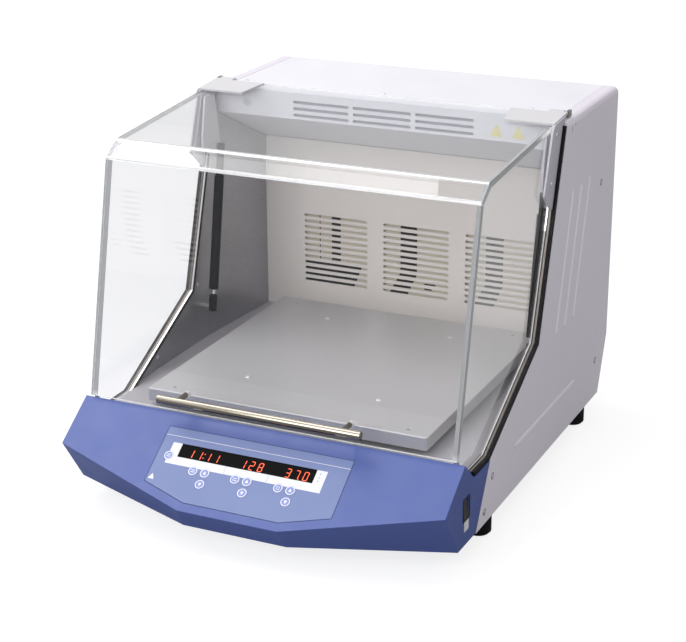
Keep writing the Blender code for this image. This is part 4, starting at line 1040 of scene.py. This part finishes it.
# Nuts inside the hood's front sheet, opposite the handle's standoffs.
NUT_X, NUT_DEPTH = 125 * MM, 8.15  # the sheet is 8 mm thick
NUT = in_mm(((4.8, 0), (4.8, 0.7), (3.4, 0.8), (3.1, 2.0), (1.6, 2.9)))
bar_low, bar_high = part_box("handle_bar")
bar_z = (bar_low.z + bar_high.z) / 2
sheet_lean = (FRONT_FOOT.x - FRONT_TOP.x) / (FRONT_TOP.y - FRONT_FOOT.y)
front_y = FRONT_TOP.x + sheet_lean * (FRONT_TOP.y - bar_z)
down = (FRONT_FOOT - FRONT_TOP).normalized()
out = Vector((0, down.y, -down.x))
inside = Vector((0, front_y, bar_z)) - out * NUT_DEPTH * MM
bm = bmesh.new()
for x in (-NUT_X, NUT_X):
    turned(bm, NUT, place(inside + RIGHT * x, -out))
piece("handle_nuts", bm, "hood", "steel", PLATED)

# ---------------------------------------------------------------- studio

# The floor glows, to look plain and pale to the camera. It lights the object less than it shows,
# and what the object mirrors of it is almost dark.
FLOOR_HALF, FLOOR_DROP = 15.0, 0.2 * MM
FLOOR_SEEN, FLOOR_LIGHT, FLOOR_MIRRORED = 0.79, 0.17, 0.02
bm = bmesh.new()
for x, y in ((-1, -1), (1, -1), (1, 1), (-1, 1)):
    bm.verts.new((x * FLOOR_HALF, y * FLOOR_HALF, -FLOOR_DROP))
bm.faces.new(bm.verts)
mesh = bpy.data.meshes.new("floor")
bm.to_mesh(mesh)
bm.free()
floor = added("floor", mesh)
ground = Finish("floor", (0.26, 0.26, 0.262, 1), 0.9, specular_ior_level=0.0).mottle(0.5, 0.004)
ground.set("Emission Color", (1.0, 1.0, 1.0, 1))
diffuse = ground.node("LightPath").outputs["Is Diffuse Ray"]
shown = ground.node(
    "MapRange", Value=ground.mirrored(), To_Max=FLOOR_MIRRORED,
    To_Min=ground.span(diffuse, FLOOR_SEEN, FLOOR_LIGHT, 0.0, 1.0),
)
ground.links.new(shown.outputs["Result"], ground.shader.inputs["Emission Strength"])
mesh.materials.append(ground.material)

# The surroundings are brighter to the upper left. Mirrored, they are dark low down and bright above.
BRIGHT_SIDE = (-0.3, -0.05, 0.42)
world = bpy.data.worlds.new("studio")
bpy.context.scene.world = world
world.use_nodes = True
studio = Nodes(world.node_tree)
toward = studio.node("TexCoord").outputs["Generated"]
around = studio.span(studio.along(toward, BRIGHT_SIDE), 0.12, 1.05, -0.4, 0.6)
above = studio.span(studio.along(toward, (0, 0, 1)), 0.1, 1.5, 0.15, 0.5)
share = studio.node("MapRange", Value=studio.mirrored(), To_Min=1.0, To_Max=above)
background = studio.nodes["Background"].inputs
background["Color"].default_value = (0.985, 0.99, 1.0, 1)
strength = studio.maths("MULTIPLY", around, share.outputs["Result"])
studio.links.new(strength, background["Strength"])


def lamp(name, at, aim, size, power):
    """A white rectangular lamp at a point, aimed at another."""
    data = bpy.data.lights.new(name, "AREA")
    data.shape = "RECTANGLE"
    data.size, data.size_y = size
    data.energy = power
    made = added(name, data)
    made.location = at
    made.rotation_euler = (Vector(aim) - Vector(at)).to_track_quat("-Z", "Y").to_euler()


lamp("key", (-1.6, -0.2, 2.6), (0, 0, 0.25), (2.4, 2.0), 44)
lamp("front", (-0.4, -3.2, 2.0), (0, 0.2, 0.25), (2.4, 1.4), 52)
lamp("side", (2.8, -0.5, 2.1), (0.3, 0.05, 0.42), (1.6, 1.4), 15)

# The camera as solved from the photograph.
CAMERA_AT, LENS = (1.01967, -2.17999, 1.10659), 91.46
YAW, PITCH, ROLL = 0.4384, 0.3530, -0.0053
camera_data = bpy.data.cameras.new("camera")
camera_data.sensor_width = 36
camera_data.lens = LENS
camera_data.clip_start, camera_data.clip_end = 0.05, 100
camera = added("camera", camera_data)
level = math.cos(PITCH)
forward = Vector((-math.sin(YAW) * level, math.cos(YAW) * level, -math.sin(PITCH)))
right = Vector((math.cos(YAW), math.sin(YAW), 0))
above = right.cross(forward)
rolled = right * math.cos(ROLL) + above * math.sin(ROLL)
raised = above * math.cos(ROLL) - right * math.sin(ROLL)
camera.matrix_world = Matrix.Translation(CAMERA_AT) @ Matrix(
    (rolled, raised, -forward)
).transposed().to_4x4()
bpy.context.scene.camera = camera
bpy.context.scene.view_settings.view_transform = "Standard"
